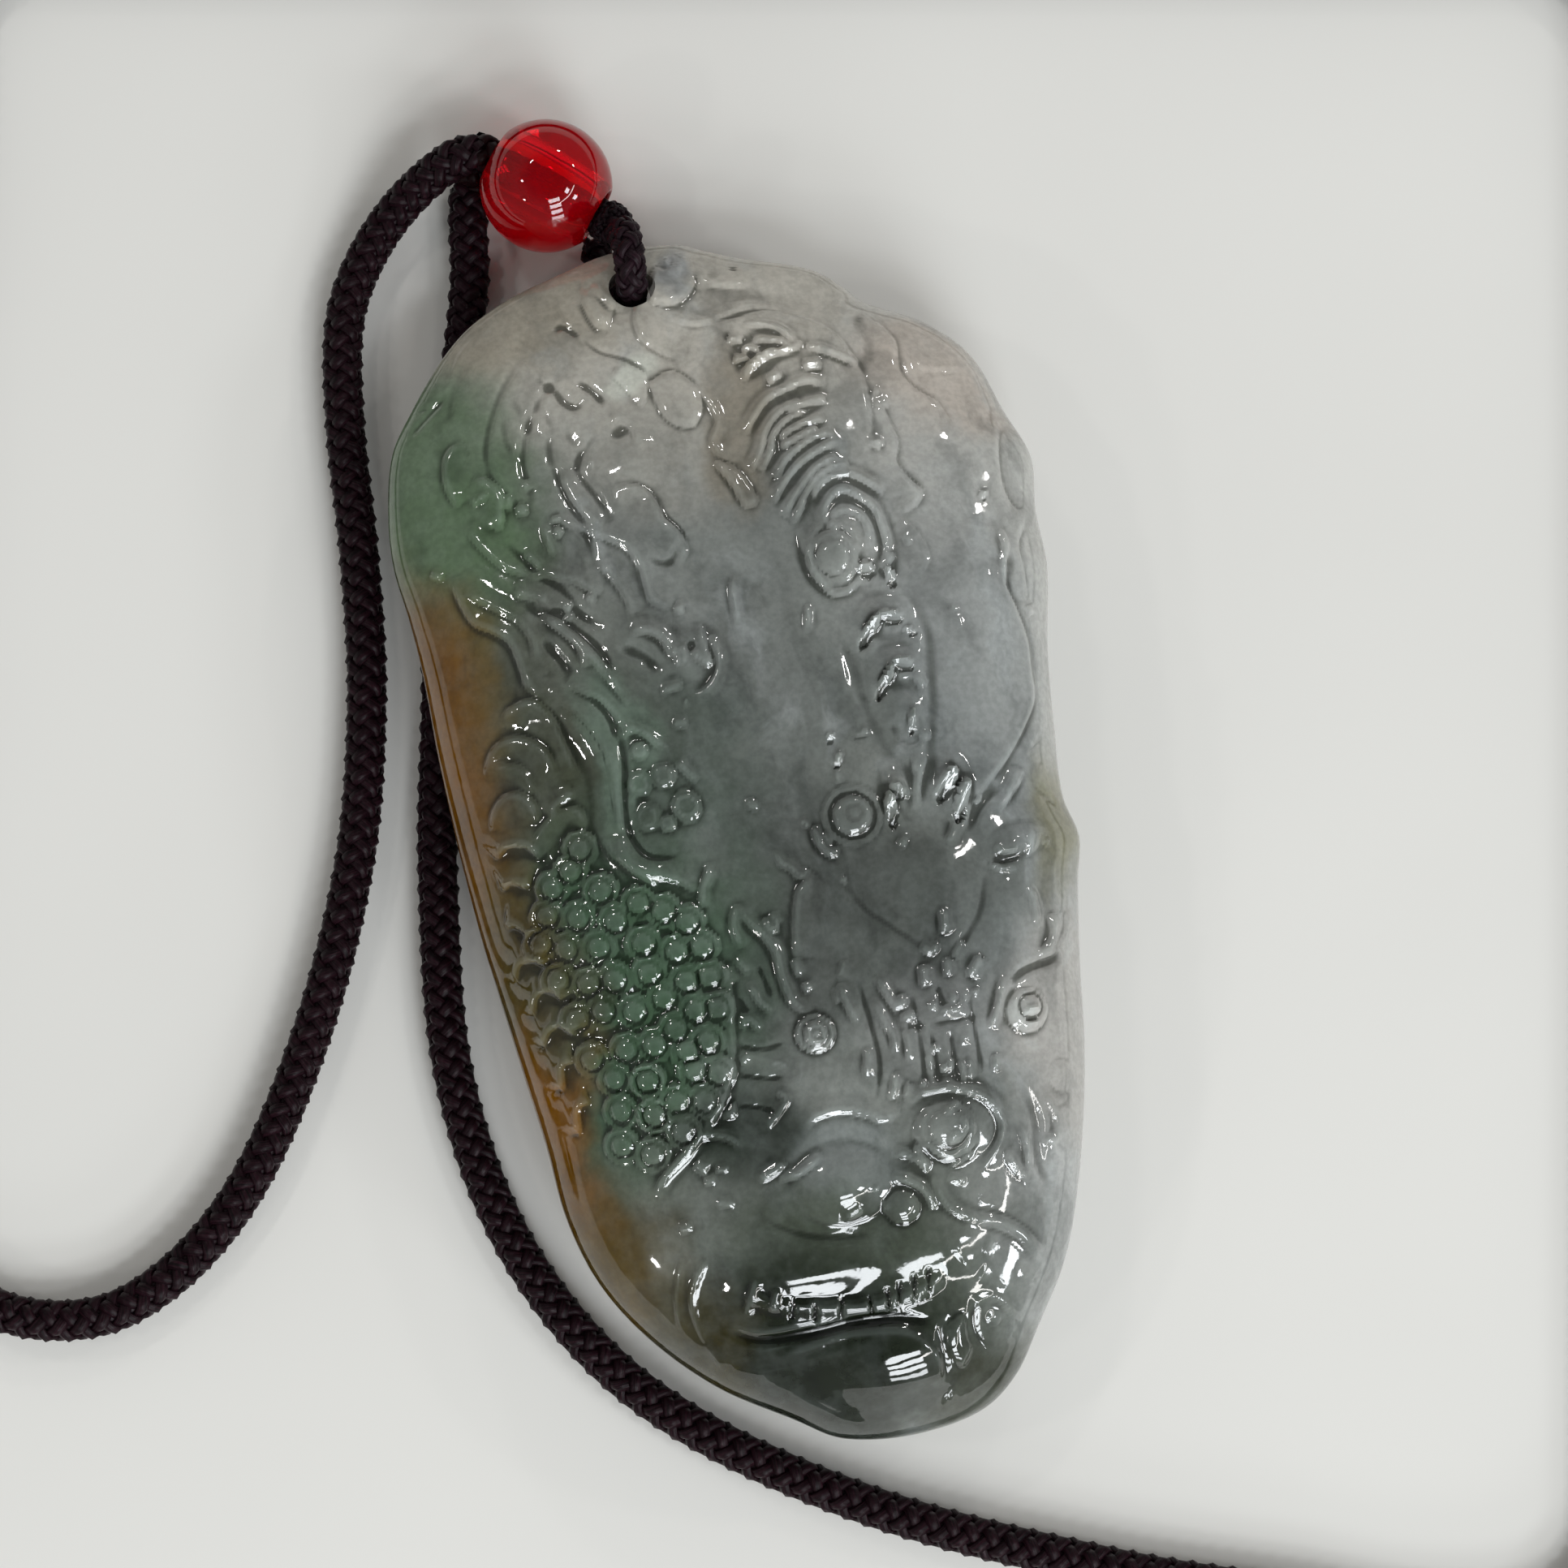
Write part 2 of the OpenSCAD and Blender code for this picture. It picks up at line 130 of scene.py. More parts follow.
# %% Routes: smooth curves through chosen points
CORD_ROUTE = [
    (-8.5, 39.95, 3.65), (-10.1, 39.95, 3.4), (-13.2, 38.4, 1.9), (-15.8, 35.8, 1.2), (-17.6, 32.4, 1.2),
    (-18.6, 26.5, 1.2), (-19.1, 19.5, 1.2), (-20.1, 11.5, 1.2), (-22.4, 2.6, 1.2), (-26.8, -7, 1.2),
    (-32.2, -14.6, 1.2), (-38.5, -18.5, 1.2), (-44.1, -17.9, 1.2), (-47.9, -14.2, 1.2), (-49, -8, 1.2),
    (-36.9, 47.5, 1.2), (-35.6, 53.2, 1.2), (-31.8, 56, 1.2), (-26, 55.3, 1.2), (47, 43, 1.2),
    (52.8, 41.8, 1.2), (55.9, 37.6, 1.2), (55.2, 32, 1.2), (39, -40.6, 1.2), (37.3, -46.3, 1.2),
    (33, -48.9, 1.2), (27, -48, 1.2), (21, -45.6, 1.2), (11, -42, 1.2), (-2, -35.9, 1.2),
    (-12, -28.4, 1.2), (-17.2, -20, 1.2), (-19.1, -10, 1.2), (-18, 1.5, 1.2), (-15.9, 12, 1.2),
    (-14.3, 21.6, 1.2), (-11.9, 28.4, 1.2), (-10.4, 33.6, 1.2), (-9.9, 36.8, 1.2), (-9.5, 38.8, 1.2),
]
CORD_D = 2.4
CORD_STEP = 0.5


def smooth_route(points, steps):
    """A curve through the points whose direction at each follows the points before and after it."""
    p = np.array(points, float)
    before, after = np.vstack([p[:1], p[:-1]]), np.vstack([p[1:], p[-1:]])
    length = np.linalg.norm(after - p, axis=1) + np.linalg.norm(p - before, axis=1)
    slope = (after - before) / length[:, None]
    t = np.arange(steps)[:, None] / steps
    pieces = []
    for i in range(len(p) - 1):
        way = np.linalg.norm(p[i + 1] - p[i])
        pieces.append(
            p[i] * (2 * t**3 - 3 * t**2 + 1) + slope[i] * way * (t**3 - 2 * t**2 + t)
            + p[i + 1] * (3 * t**2 - 2 * t**3) + slope[i + 1] * way * (t**3 - t**2)
        )
    return np.vstack(pieces + [p[-1:]])


def run_of(route):
    """How far along the route each of its points is."""
    return np.concatenate([[0], np.cumsum(np.linalg.norm(np.diff(route, axis=0), axis=1))])


def even_route(route, step):
    """The same route with its points a step apart, as near as its length allows."""
    run = run_of(route)
    places = np.linspace(0, run[-1], max(2, round(run[-1] / step) + 1))
    return np.stack([np.interp(places, run, route[:, k]) for k in range(3)], axis=1)


def heading_of(route):
    """The direction of a route at each of its points, one unit long."""
    way = np.gradient(route, axis=0)
    return way / np.linalg.norm(way, axis=1)[:, None]


def sides_of(route):
    """Two directions square to a route at each of its points, carried along it without a twist."""
    heading = heading_of(route)
    side = np.empty_like(heading)
    last = np.array((0.0, 0.0, 1.0))
    for i, h in enumerate(heading):
        last = last - h * (last @ h)
        last /= np.linalg.norm(last)
        side[i] = last
    return side, np.cross(heading, side)


cord_line = even_route(smooth_route(CORD_ROUTE, 12), CORD_STEP)
print(f"neck cord {run_of(cord_line)[-1]:.0f} mm long")

# %% [markdown]
# A strand is a little flat tube that follows its own winding line. `braid_mesh` winds all the strands of
# one cord and puts a core inside, so that no light shows between them. Each strand gets a UV map that runs
# round and along it, because its fine fibres follow the strand and not the scene.

# %% Braided cords
# A strand's half width, its half thickness and its rise and fall, as shares of the cord's diameter
HALF_WIDE, HALF_THICK, SWAY = 0.155, 0.085, 0.07
CORE_INSET, CORE_SIDES = 0.02, 8
# A hair's turn, so that no two strands cross with their middle lines in one point
CROSSING_OFFSET = 1e-3


def tube_faces(rings, around, first):
    """Quads between rings of points that follow each other, counted from the first point."""
    i, j = np.meshgrid(np.arange(rings - 1), np.arange(around), indexing="ij")
    a = first + i * around + j
    b = first + i * around + (j + 1) % around
    return np.stack([a, b, b + around, a + around], axis=-1).reshape(-1, 4)


def tube_points(line, half_across, half_thick, across, outward, around):
    """Points round a flat tube. across and outward are its directions at each point of the line."""
    angle = 2 * np.pi * np.arange(around) / around
    return (
        line[:, None]
        + half_across * np.cos(angle)[None, :, None] * across[:, None]
        + half_thick * np.sin(angle)[None, :, None] * outward[:, None]
    ).reshape(-1, 3)


def strand_uvs(quads, around, run):
    """A map for a strand's quads: once round the strand from 0 to 1, and along it by its run."""
    ring = quads // around
    corner = quads % around
    closing = (corner == 0) & (corner.max(axis=1) == around - 1)[:, None]
    return np.stack([np.where(closing, around, corner) / around, run[ring]], axis=-1).reshape(-1, 2)


def braid_mesh(name, route, diameter, carriers=8, lay=4.4, step=0.22, around=5, core_step=1.2, taper=None):
    """A round braid along the route. taper scales its thickness at places along it, from 0 to 1."""
    line = even_route(route, step)
    side, third = sides_of(line)
    run = run_of(line)
    scale = np.ones(len(run)) if taper is None else np.interp(run / run[-1], *zip(*taper))
    pairs = carriers // 2
    thick, sway = HALF_THICK * diameter, SWAY * diameter
    middle = diameter / 2 - thick - sway
    points, faces, uvs = [], [], []
    count = 0
    for k in range(carriers):
        way = 1 if k % 2 == 0 else -1
        turn = way * 2 * np.pi * run / lay + 2 * np.pi * (k // 2) / pairs + (k % 2) * CROSSING_OFFSET
        radius = (middle + way * sway * np.cos(2 * np.pi * run * pairs / lay)) * scale
        outward = np.cos(turn)[:, None] * side + np.sin(turn)[:, None] * third
        strand = line + radius[:, None] * outward
        across = np.cross(outward, heading_of(strand))
        points.append(tube_points(strand, HALF_WIDE * diameter, thick, across, outward, around))
        quads = tube_faces(len(strand), around, count)
        faces.append(quads)
        uvs.append(strand_uvs(quads - count, around, run_of(strand) / diameter))
        count += len(strand) * around
    core = even_route(route, core_step)
    side, third = sides_of(core)
    core_half = np.interp(run_of(core), run, scale)[:, None, None] * (middle - CORE_INSET * diameter)
    points.append(tube_points(core, core_half, core_half, side, third, CORE_SIDES))
    quads = tube_faces(len(core), CORE_SIDES, count)
    faces.append(quads)
    last = count + (len(core) - 1) * CORE_SIDES
    ends = [list(range(count, count + CORE_SIDES))[::-1], list(range(last, last + CORE_SIDES))]
    uvs.append(np.zeros((len(quads) * 4 + 2 * CORE_SIDES, 2)))
    mesh = bpy.data.meshes.new(name)
    mesh.from_pydata((np.vstack(points) * MM).tolist(), [], np.concatenate(faces).tolist() + ends)
    uv = mesh.uv_layers.new(name="strand")
    uv.data.foreach_set("uv", np.vstack(uvs).astype(np.float32).ravel())
    mesh.shade_smooth()
    return add_to_scene(name, mesh)


neck_cord = braid_mesh("braided_neck_cord", cord_line, CORD_D)
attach(neck_cord, "root")
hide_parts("neck_cord")
print(f"neck cord: {triangles(neck_cord)} triangles")

# %% [markdown]
# ## The jade stone
#
# The stone was first ground to a rounded pebble, and the dragon was then carved into its face. The model is
# made in the same order. A grid primitive is the blank: its rows become sections of the stone and its
# columns run across the face. The outline and the thickness come from the same short table as the solid's,
# so both agree.
#
# The points are spread evenly along each section's own curve, because evenly spaced columns in plan would
# leave long thin faces where the stone turns down at its rim, just where its gloss shows every fault.

# %% The ground of the stone
JADE_L, JADE_W, JADE_T = 66.0, 35.2, 12.0
GIRDLE_H, BACK_CUT = 5.6, 0.5
HOLE_D, HOLE_RIM, HOLE_SIDE = 2.5, 1.3, 2.1
HALF_L, HALF_W = JADE_L / 2, JADE_W / 2
SECTIONS = np.array([
    # turn  left    right  girdle crown
    (-90, 0.06, 0.06, 0.80, 0.92),
    (-80, -0.14, 0.27, 0.84, 0.94),
    (-70, -0.28, 0.40, 0.88, 0.96),
    (-60, -0.49, 0.50, 0.92, 0.98),
    (-50, -0.67, 0.62, 0.96, 0.99),
    (-42, -0.78, 0.69, 1.00, 1.00),
    (-34, -0.84, 0.75, 1.00, 1.00),
    (-26, -0.86, 0.80, 1.00, 1.00),
    (-18, -0.89, 0.835, 1.00, 1.00),
    (-10, -0.92, 0.88, 1.00, 0.99),
    (-6, -0.935, 0.91, 1.00, 0.985),
    (-2, -0.945, 0.885, 1.00, 0.98),
    (4, -0.957, 0.90, 1.00, 0.97),
    (12, -0.966, 0.93, 1.00, 0.95),
    (20, -0.966, 0.98, 1.00, 0.92),
    (26, -0.977, 0.98, 1.00, 0.89),
    (32, -0.995, 1.00, 0.98, 0.85),
    (38, -0.983, 0.946, 0.96, 0.81),
    (46, -0.935, 0.88, 0.93, 0.76),
    (52, -0.85, 0.76, 0.90, 0.72),
    (57, -0.775, 0.59, 0.88, 0.69),
    (60, -0.73, 0.545, 0.86, 0.67),
    (66, -0.625, 0.44, 0.84, 0.64),
    (72, -0.48, 0.24, 0.82, 0.62),
    (78, -0.31, 0.12, 0.80, 0.60),
    (84, -0.20, 0.05, 0.78, 0.59),
    (90, -0.09, -0.09, 0.78, 0.58),
])
SMOOTH_SECTIONS = smooth_route(SECTIONS, 8)
FACE_FULL, BACK_FULL = 3, 2.2
FINE_ROWS, FINE_COLUMNS = 2001, 801


def section_value(v, k):
    """A column of the table at a place along the stone."""
    return np.interp(np.degrees(np.arcsin(np.clip(v, -1, 1))), SMOOTH_SECTIONS[:, 0], SMOOTH_SECTIONS[:, k])


def outness(u, v, full):
    """How far out a place is, from 0 on the middle to 1 on the outline."""
    return (np.abs(v) ** full + np.abs(u) ** full * (1 - np.abs(v) ** full)) ** (1 / full)


def ground_point(u, v, back=False):
    """A point of the uncarved stone. u runs across it from -1 to 1, v along it from the snout's end."""
    left, right = section_value(v, 1) * HALF_W, section_value(v, 2) * HALF_W
    girdle, crown = section_value(v, 3) * GIRDLE_H, section_value(v, 4) * JADE_T
    full = BACK_FULL if back else FACE_FULL
    swell = np.sqrt(np.maximum(0, 1 - outness(u, v, full) ** full))
    if back:
        z = np.maximum(0, (girdle + BACK_CUT) * (1 - swell) - BACK_CUT)
    else:
        z = girdle + (crown - girdle) * swell
    return np.stack([(left + right) / 2 + u * (right - left) / 2, v * HALF_L + 0 * u, z + 0 * u], axis=-1)


def spread_evenly(samples, points, count):
    """The samples at which a curve through the points is cut into equal lengths."""
    run = run_of(points)
    return np.interp(np.linspace(0, run[-1], count), run, samples)


def ground_grid(columns, rows, back=False):
    """Even rows and, in each of them, even columns. Both grids meet in the same points on the outline."""
    fine_v = np.sin(np.linspace(-np.pi / 2, np.pi / 2, FINE_ROWS))
    v = spread_evenly(fine_v, ground_point(np.zeros(FINE_ROWS), fine_v), rows)
    fine_u = np.sin(np.linspace(-np.pi / 2, np.pi / 2, FINE_COLUMNS))
    sections = [ground_point(fine_u, np.full(FINE_COLUMNS, at), back) for at in v]
    u = np.array([spread_evenly(fine_u, section, columns) for section in sections])
    return u, np.repeat(v[:, None], columns, axis=1)


FACE_COLUMNS, BACK_COLUMNS, ROWS = 237, 27, 379
face_u, face_v = ground_grid(FACE_COLUMNS, ROWS)
face = ground_point(face_u, face_v)
row_gap = run_of(face[:, FACE_COLUMNS // 2])[-1] / (ROWS - 1)
print(f"face grid {FACE_COLUMNS} x {ROWS}, its rows {row_gap:.2f} mm apart")

# %% [markdown]
# ### A carver's strokes
#
# A carver works with a few tools, again and again: a ball that leaves a hollow, a thin wheel that cuts a
# groove, a file that rounds a ridge, a blade that cuts one side of a form down so that the other side
# stands over it, and a flat stone that leaves a small facet. The same strokes are made here as small
# functions. Each takes a line or a place on the chart of the face, and raises or sinks the points of the
# grid near it, in millimetres. Sculpting by hand gives the same forms, but a list of strokes can be read,
# changed and run again.
#
# The chart was drawn over the photograph, which looks down a little askew, so a point of the stone is found
# on the chart by sliding it along the line of sight to one height.

# %% The carving strokes
CHART_HEIGHT = 9.5
STROKE_STEPS = 5
TAPER_POWER, CREST_POWER, GROOVE_POWER, LIP_POWER = 0.7, 1.5, 1.3, 1.5
THIN_CREST, THIN_SLOPE = 0.5, 2.3
FACET_LIFT, FACET_REACH, FACET_END, FACET_FALL = 0.25, 1.2, 1.25, 2.5
slide = np.array([back.x, back.y]) / -back.z
chart_x = face[..., 0] - (CHART_HEIGHT - face[..., 2]) * slide[0]
chart_y = face[..., 1] - (CHART_HEIGHT - face[..., 2]) * slide[1]
relief = np.zeros(face.shape[:2])


def smooth_line(points):
    return smooth_route(points, STROKE_STEPS) if len(points) > 2 else np.array(points, float)


def near(line, reach):
    """The grid's points within reach of the box round a line."""
    low, high = line.min(axis=0) - reach, line.max(axis=0) + reach
    return np.nonzero((chart_x > low[0]) & (chart_x < high[0]) & (chart_y > low[1]) & (chart_y < high[1]))


def place_on(line, at):
    """How far each grid point is from the line, on which side (left is 1), and its share of the way along."""
    x, y = chart_x[at], chart_y[at]
    run = run_of(line)
    best = np.full(len(x), np.inf)
    side, share = np.ones(len(x)), np.zeros(len(x))
    for i in range(len(line) - 1):
        way = line[i + 1] - line[i]
        length = way @ way
        if length == 0:
            continue
        t = np.clip(((x - line[i, 0]) * way[0] + (y - line[i, 1]) * way[1]) / length, 0, 1)
        dx, dy = x - line[i, 0] - t * way[0], y - line[i, 1] - t * way[1]
        gap = dx * dx + dy * dy
        nearer = gap < best
        best = np.where(nearer, gap, best)
        side = np.where(nearer, np.sign(way[0] * dy - way[1] * dx), side)
        share = np.where(nearer, (run[i] + t * math.sqrt(length)) / run[-1], share)
    return np.sqrt(best), side, share


def tapered(share, taper):
    """1 along a stroke, running out to 0 at its ends. taper is the share that each end takes."""
    if not taper:
        return 1.0
    return np.clip(share / taper, 0, 1) ** TAPER_POWER * np.clip((1 - share) / taper, 0, 1) ** TAPER_POWER


def ridge(points, width, height, taper=0.25):
    """Files a crest along a line. A thin one is steep on its right side and slopes away on its left.

    A negative height cuts a rounded groove.
    """
    line = smooth_line(points)
    thin = height > 0 and width < THIN_CREST
    slope = THIN_SLOPE if thin else 1.0
    at = near(line, width * slope)
    gap, side, share = place_on(line, at)
    q = np.minimum(1, gap / (width * np.where(side > 0, slope, 1.0)))
    profile = (1 - q) ** CREST_POWER if thin else (1 - q * q) ** 2
    relief[at] += height * profile * tapered(share, taper)


def ridges(strokes):
    """Files a list of crests, each given as its points, width and height."""
    for points, width, height in strokes:
        ridge(points, width, height)


def groove(points, width=0.28, depth=0.22, taper=0.2):
    """Cuts a thin line with the edge of the wheel."""
    line = smooth_line(points)
    at = near(line, width)
    gap, _, share = place_on(line, at)
    relief[at] -= depth * np.maximum(0, 1 - gap / width) ** GROOVE_POWER * tapered(share, taper)


def lip(points, height, reach=1.6, wall=0.42, taper=0.15):
    """Lets the left side of a line stand over its right side, behind a wall, and fall back over its reach.

    A negative height sinks the left side.
    """
    line = smooth_line(points)
    at = near(line, reach)
    gap, side, share = place_on(line, at)
    over = side * gap
    rise = np.clip((over + wall / 2) / wall, 0, 1)
    rise = rise * rise * (3 - 2 * rise)
    relief[at] += height * rise * np.clip(1 - over / reach, 0, 1) ** LIP_POWER * tapered(share, taper)


def oval(x, y, across, along, turn, reach):
    """The grid points near an oval, how far up from its centre each is, and a measure, 1 on its edge."""
    at = near(np.array([(x, y)]), reach)
    dx, dy = chart_x[at] - x, chart_y[at] - y
    c, s = math.cos(math.radians(turn)), math.sin(math.radians(turn))
    return at, dy, ((dx * c + dy * s) / across) ** 2 + ((dy * c - dx * s) / along) ** 2


def dome(x, y, across, along, height, turn=0.0, power=2.0):
    """Rounds a swelling, or a hollow if the height is negative.

    power 2 is soft all over, and a smaller one is steeper at the edge.
    """
    at, _, q = oval(x, y, across, along, turn, max(across, along))
    relief[at] += height * np.maximum(0, 1 - q) ** power


def form(outline, height, edge=0.35, crown=0.0):
    """Leaves a flat form standing inside a closed outline, with a rounded edge and, if asked, a crown."""
    line = smooth_line(list(outline) + [outline[0]])
    at = near(line, 0.1)
    gap, _, _ = place_on(line, at)
    x, y = chart_x[at], chart_y[at]
    inside = np.zeros(len(x), bool)
    for (x0, y0), (x1, y1) in zip(line[:-1], line[1:]):
        if y0 != y1:
            inside ^= ((y0 > y) != (y1 > y)) & (x < (x1 - x0) * (y - y0) / (y1 - y0) + x0)
    q = np.clip(gap / edge, 0, 1)
    depth = gap / max(1e-6, gap[inside].max() if inside.any() else 1)
    relief[at] += np.where(inside, height * q * (2 - q) + crown * depth * (2 - depth), 0)


def ring(x, y, radius, width, height):
    """Turns a raised ring, or a sunk one if the height is negative."""
    at = near(np.array([(x, y)]), radius + width)
    q = np.minimum(1, np.abs(np.hypot(chart_x[at] - x, chart_y[at] - y) - radius) / width)
    relief[at] += height * (1 - q * q) ** 2


def facet(x, y, across, along, turn=0.0, tilt=0.85):
    """Sets a small oval facet, tilted down towards the snout so that it catches the window."""
    at, up_from_centre, q = oval(x, y, across, along, turn, FACET_REACH * max(across, along))
    c, s = math.cos(math.radians(turn)), math.sin(math.radians(turn))
    lift = FACET_LIFT * max(across * abs(s), along * abs(c))
    relief[at] += tilt * (up_from_centre + lift) * np.clip(FACET_FALL * (FACET_END - q), 0, 1)


print(f"the chart is {np.ptp(chart_x):.1f} mm wide and {np.ptp(chart_y):.1f} mm long")

# %% [markdown]
# ### Blocking out
#
# First the carver leaves the large rounds of the dragon standing: the plate between its brows, the eyes,
# the cheek, the lips, the scaled body, the shell and ribbed tail above the head, and the clouds. Where two
# rounds meet, the higher one counts, so the valley between them stays.

# %% The large rounds
ROUNDS = [
    # x, y, half across, half along, height
    (6.9, -4.6, 3.6, 3.2, 0.40),  # plate between the brows
    (1.3, -5.6, 2.4, 2.8, 0.30),  # left jowl
    (11.2, -6.8, 2.0, 2.8, 0.35),  # right jowl
    (6.3, 0.6, 0.9, 1.8, 0.45),  # left leaf of the crest
    (9.4, 0.2, 1.1, 2.0, 0.45),  # right leaf of the crest
    (12.3, -3.4, 1.8, 1.0, 0.35),  # right eye
    (6.5, -12.2, 2.8, 3.0, 0.35),  # bars under the plate
    (5.8, -17.3, 3.0, 2.3, 0.65),  # lower eye
    (-0.4, -19.6, 3.2, 2.3, 0.75),  # round cheek
    (-3.5, -23.6, 5.5, 2.0, 0.40),  # upper lip, left
    (4.0, -23.6, 3.6, 2.2, 0.35),  # upper lip, right
    (0.9, -29.2, 5.0, 2.9, 0.65),  # lower lip
    (-9.6, -5.0, 4.2, 5.6, 0.45),  # scaled body, upper
    (-8.6, -12.6, 3.6, 5.0, 0.45),  # scaled body, lower
    (-6.0, 3.6, 2.1, 3.4, 0.35),  # drop inside the bent leg
    (-12.0, 3.4, 2.6, 2.8, 0.30),  # mane beside the leg
    (-2.8, 9.3, 1.9, 1.7, 0.45),  # claw
    (1.4, 6.6, 4.6, 7.0, 0.35),  # smooth wing, left of the tail
    (12.2, 8.0, 3.4, 8.0, 0.40),  # smooth wing, right of the tail
    (6.0, 13.7, 2.6, 2.8, 0.60),  # shell at the tail's root
    (6.4, 19.2, 3.0, 3.4, 0.40),  # ribbed tail, lower
    (5.8, 24.2, 3.6, 2.6, 0.35),  # ribbed tail, upper
    (7.5, 9.6, 1.8, 1.3, 0.45),  # first joint of the spine
    (7.6, 6.9, 1.6, 1.2, 0.45),  # second joint of the spine
    (7.6, 4.4, 1.3, 1.3, 0.35),  # third joint of the spine
    (-3.9, 15.9, 2.6, 2.3, 0.40),  # cloud, lower
    (-4.0, 20.2, 2.0, 2.0, 0.35),  # cloud, middle
    (-11.6, 20.0, 2.2, 2.6, 0.35),  # curl of the left mane
    (-1.4, 28.4, 2.4, 2.4, 0.30),  # swell under the hole
    (13.4, 17.5, 3.0, 4.5, 0.30),  # swell of the right shoulder
]
rounds = np.zeros_like(relief)
for x, y, across, along, height in ROUNDS:
    q = np.minimum(1, ((chart_x - x) / across) ** 2 + ((chart_y - y) / along) ** 2)
    rounds = np.maximum(rounds, height * (1 - q) ** 2)
relief += rounds
print(f"{len(ROUNDS)} rounds, up to {relief.max():.2f} mm high")

# %% [markdown]
# ### The hole end
#
# Above the head the carving is shallow. Two lobes stand on either side of the hole and the cord lies
# between them. To the left the mane ends in a curl and in soft flames, and to the right the tail ends in a
# tuft of feathers over a fan of ribs.

# %% Hole end, left: lobes, mane and clouds
ridge([(-2.2, 33.4), (-2.2, 31.6), (-2.2, 30.4)], 1.2, -0.45, taper=0)
ridge([(-4.6, 30.4), (-3.6, 29.2), (-3.0, 28.9)], 0.5, 0.25)
ridge([(-5.5, 30.2), (-4.8, 29.4), (-4.2, 27.6)], 0.6, 0.20)
lip([(-1.2, 30.6), (-2.0, 29.4), (-2.6, 28.2), (-2.5, 27.0), (-1.6, 26.0), (-0.4, 25.3)], 0.30, reach=2.6)
groove([(-15.8, 23.8), (-14.6, 24.8), (-13.4, 25.7)], 0.35, 0.35)
groove([(-15.3, 25.0), (-14.5, 25.3)], 0.30, 0.30)
lip([(-13.4, 26.2), (-12.8, 27.3), (-12.2, 28.2), (-11.0, 29.0)], -0.22, reach=1.6)
lip([(-12.9, 22.9), (-13.6, 22.7), (-14.1, 22.0), (-14.2, 20.6), (-13.8, 19.4)], 0.34, reach=1.8)
lip([(-11.7, 17.7), (-11.4, 18.6), (-11.3, 19.6), (-11.8, 20.4), (-12.6, 20.9)], 0.36, reach=1.6)
ridge([(-12.9, 19.8), (-12.7, 19.2)], 0.25, 0.18)
ridge([(-10.1, 20.2), (-9.9, 19.6)], 0.28, 0.24)
ridge([(-11.1, 18.7), (-10.9, 19.5)], 0.28, 0.22)
dome(-10.4, 18.6, 0.40, 0.40, 0.30, power=1)
dome(-12.3, 19.6, 0.35, 0.25, 0.20, power=1)
dome(-8.7, 17.8, 0.35, 0.25, 0.28, power=1)
dome(-8.7, 17.1, 0.30, 0.35, 0.28, power=1)
ridge([(-7.1, 28.1), (-6.6, 28.4), (-5.7, 27.6)], 0.35, -0.20)
ridge([(-5.7, 27.6), (-4.8, 26.6), (-3.4, 25.9), (-2.4, 25.0)], 0.30, -0.14)
ridge([(-8.5, 25.8), (-7.6, 24.9), (-7.2, 24.2), (-6.6, 23.8), (-6.2, 24.2)], 0.50, -0.26)
ridge([(-6.3, 25.2), (-5.6, 24.5), (-5.0, 23.6)], 0.45, -0.24)
ridge([(-9.9, 25.6), (-9.5, 23.6), (-8.7, 22.4), (-8.5, 20.8)], 0.60, -0.14)
ridge([(-8.6, 24.4), (-8.1, 22.8), (-8.4, 21.2), (-8.1, 19.6)], 0.50, -0.13)
ridge([(-7.6, 22.8), (-7.0, 21.6), (-7.2, 20.2)], 0.50, -0.12)
ridge([(-10.6, 24.2), (-10.6, 22.6), (-10.2, 21.4)], 0.50, -0.12)
ridge([(-11.2, 27.0), (-10.2, 28.0), (-8.6, 28.6)], 0.70, 0.10)
for wave in [
    [(-8.8, 27.3), (-10.6, 25.1), (-11.8, 22.2), (-11.6, 19.7)],
    [(-6.5, 26.4), (-8.7, 24.2), (-9.9, 21.4), (-9.7, 18.8)],
    [(-8.4, 20.6), (-7.9, 18.8), (-7.3, 16.9), (-7.1, 14.8)],
    [(-5.7, 22.2), (-7.1, 20.4), (-6.4, 18.7), (-5.7, 17.1)],
    [(-11.6, 17.1), (-10.4, 15.4), (-8.8, 13.6), (-7.8, 11.4)],
    [(-11.7, 27.8), (-13.0, 26.0), (-13.6, 24.1)],
    [(-3.2, 17.2), (-2.3, 15.5), (-3.2, 14.4), (-4.4, 14.8)],
]:
    ridge(wave, 0.42, -0.16)
form([(-4.4, 25.2), (-3.9, 25.7), (-3.2, 25.5), (-2.5, 24.8), (-2.7, 23.6), (-3.1, 23.1), (-3.8, 24.2)], 0.14)
form([(-2.6, 24.4), (-1.2, 24.9), (0.0, 23.8), (0.2, 22.6), (-0.5, 21.5), (-1.5, 21.7), (-2.2, 22.6)],
     0.22, 0.5, 0.12)
lip([(-4.9, 22.7), (-4.2, 22.4), (-3.8, 21.8), (-3.8, 20.9)], 0.24, reach=1.2)
dome(-4.6, 21.9, 0.70, 0.60, -0.18)
dome(-6.3, 20.5, 0.22, 0.22, 0.16, power=1)
lip([(-2.9, 14.2), (-2.3, 14.7), (-2.2, 15.4), (-2.5, 16.1), (-3.1, 16.8), (-3.3, 17.6), (-3.6, 18.3),
     (-4.2, 18.8), (-5.4, 19.0)], 0.36, reach=1.5)
lip([(-8.1, 20.2), (-7.8, 18.9), (-7.2, 17.8), (-6.5, 16.9)], 0.26, reach=1.2)
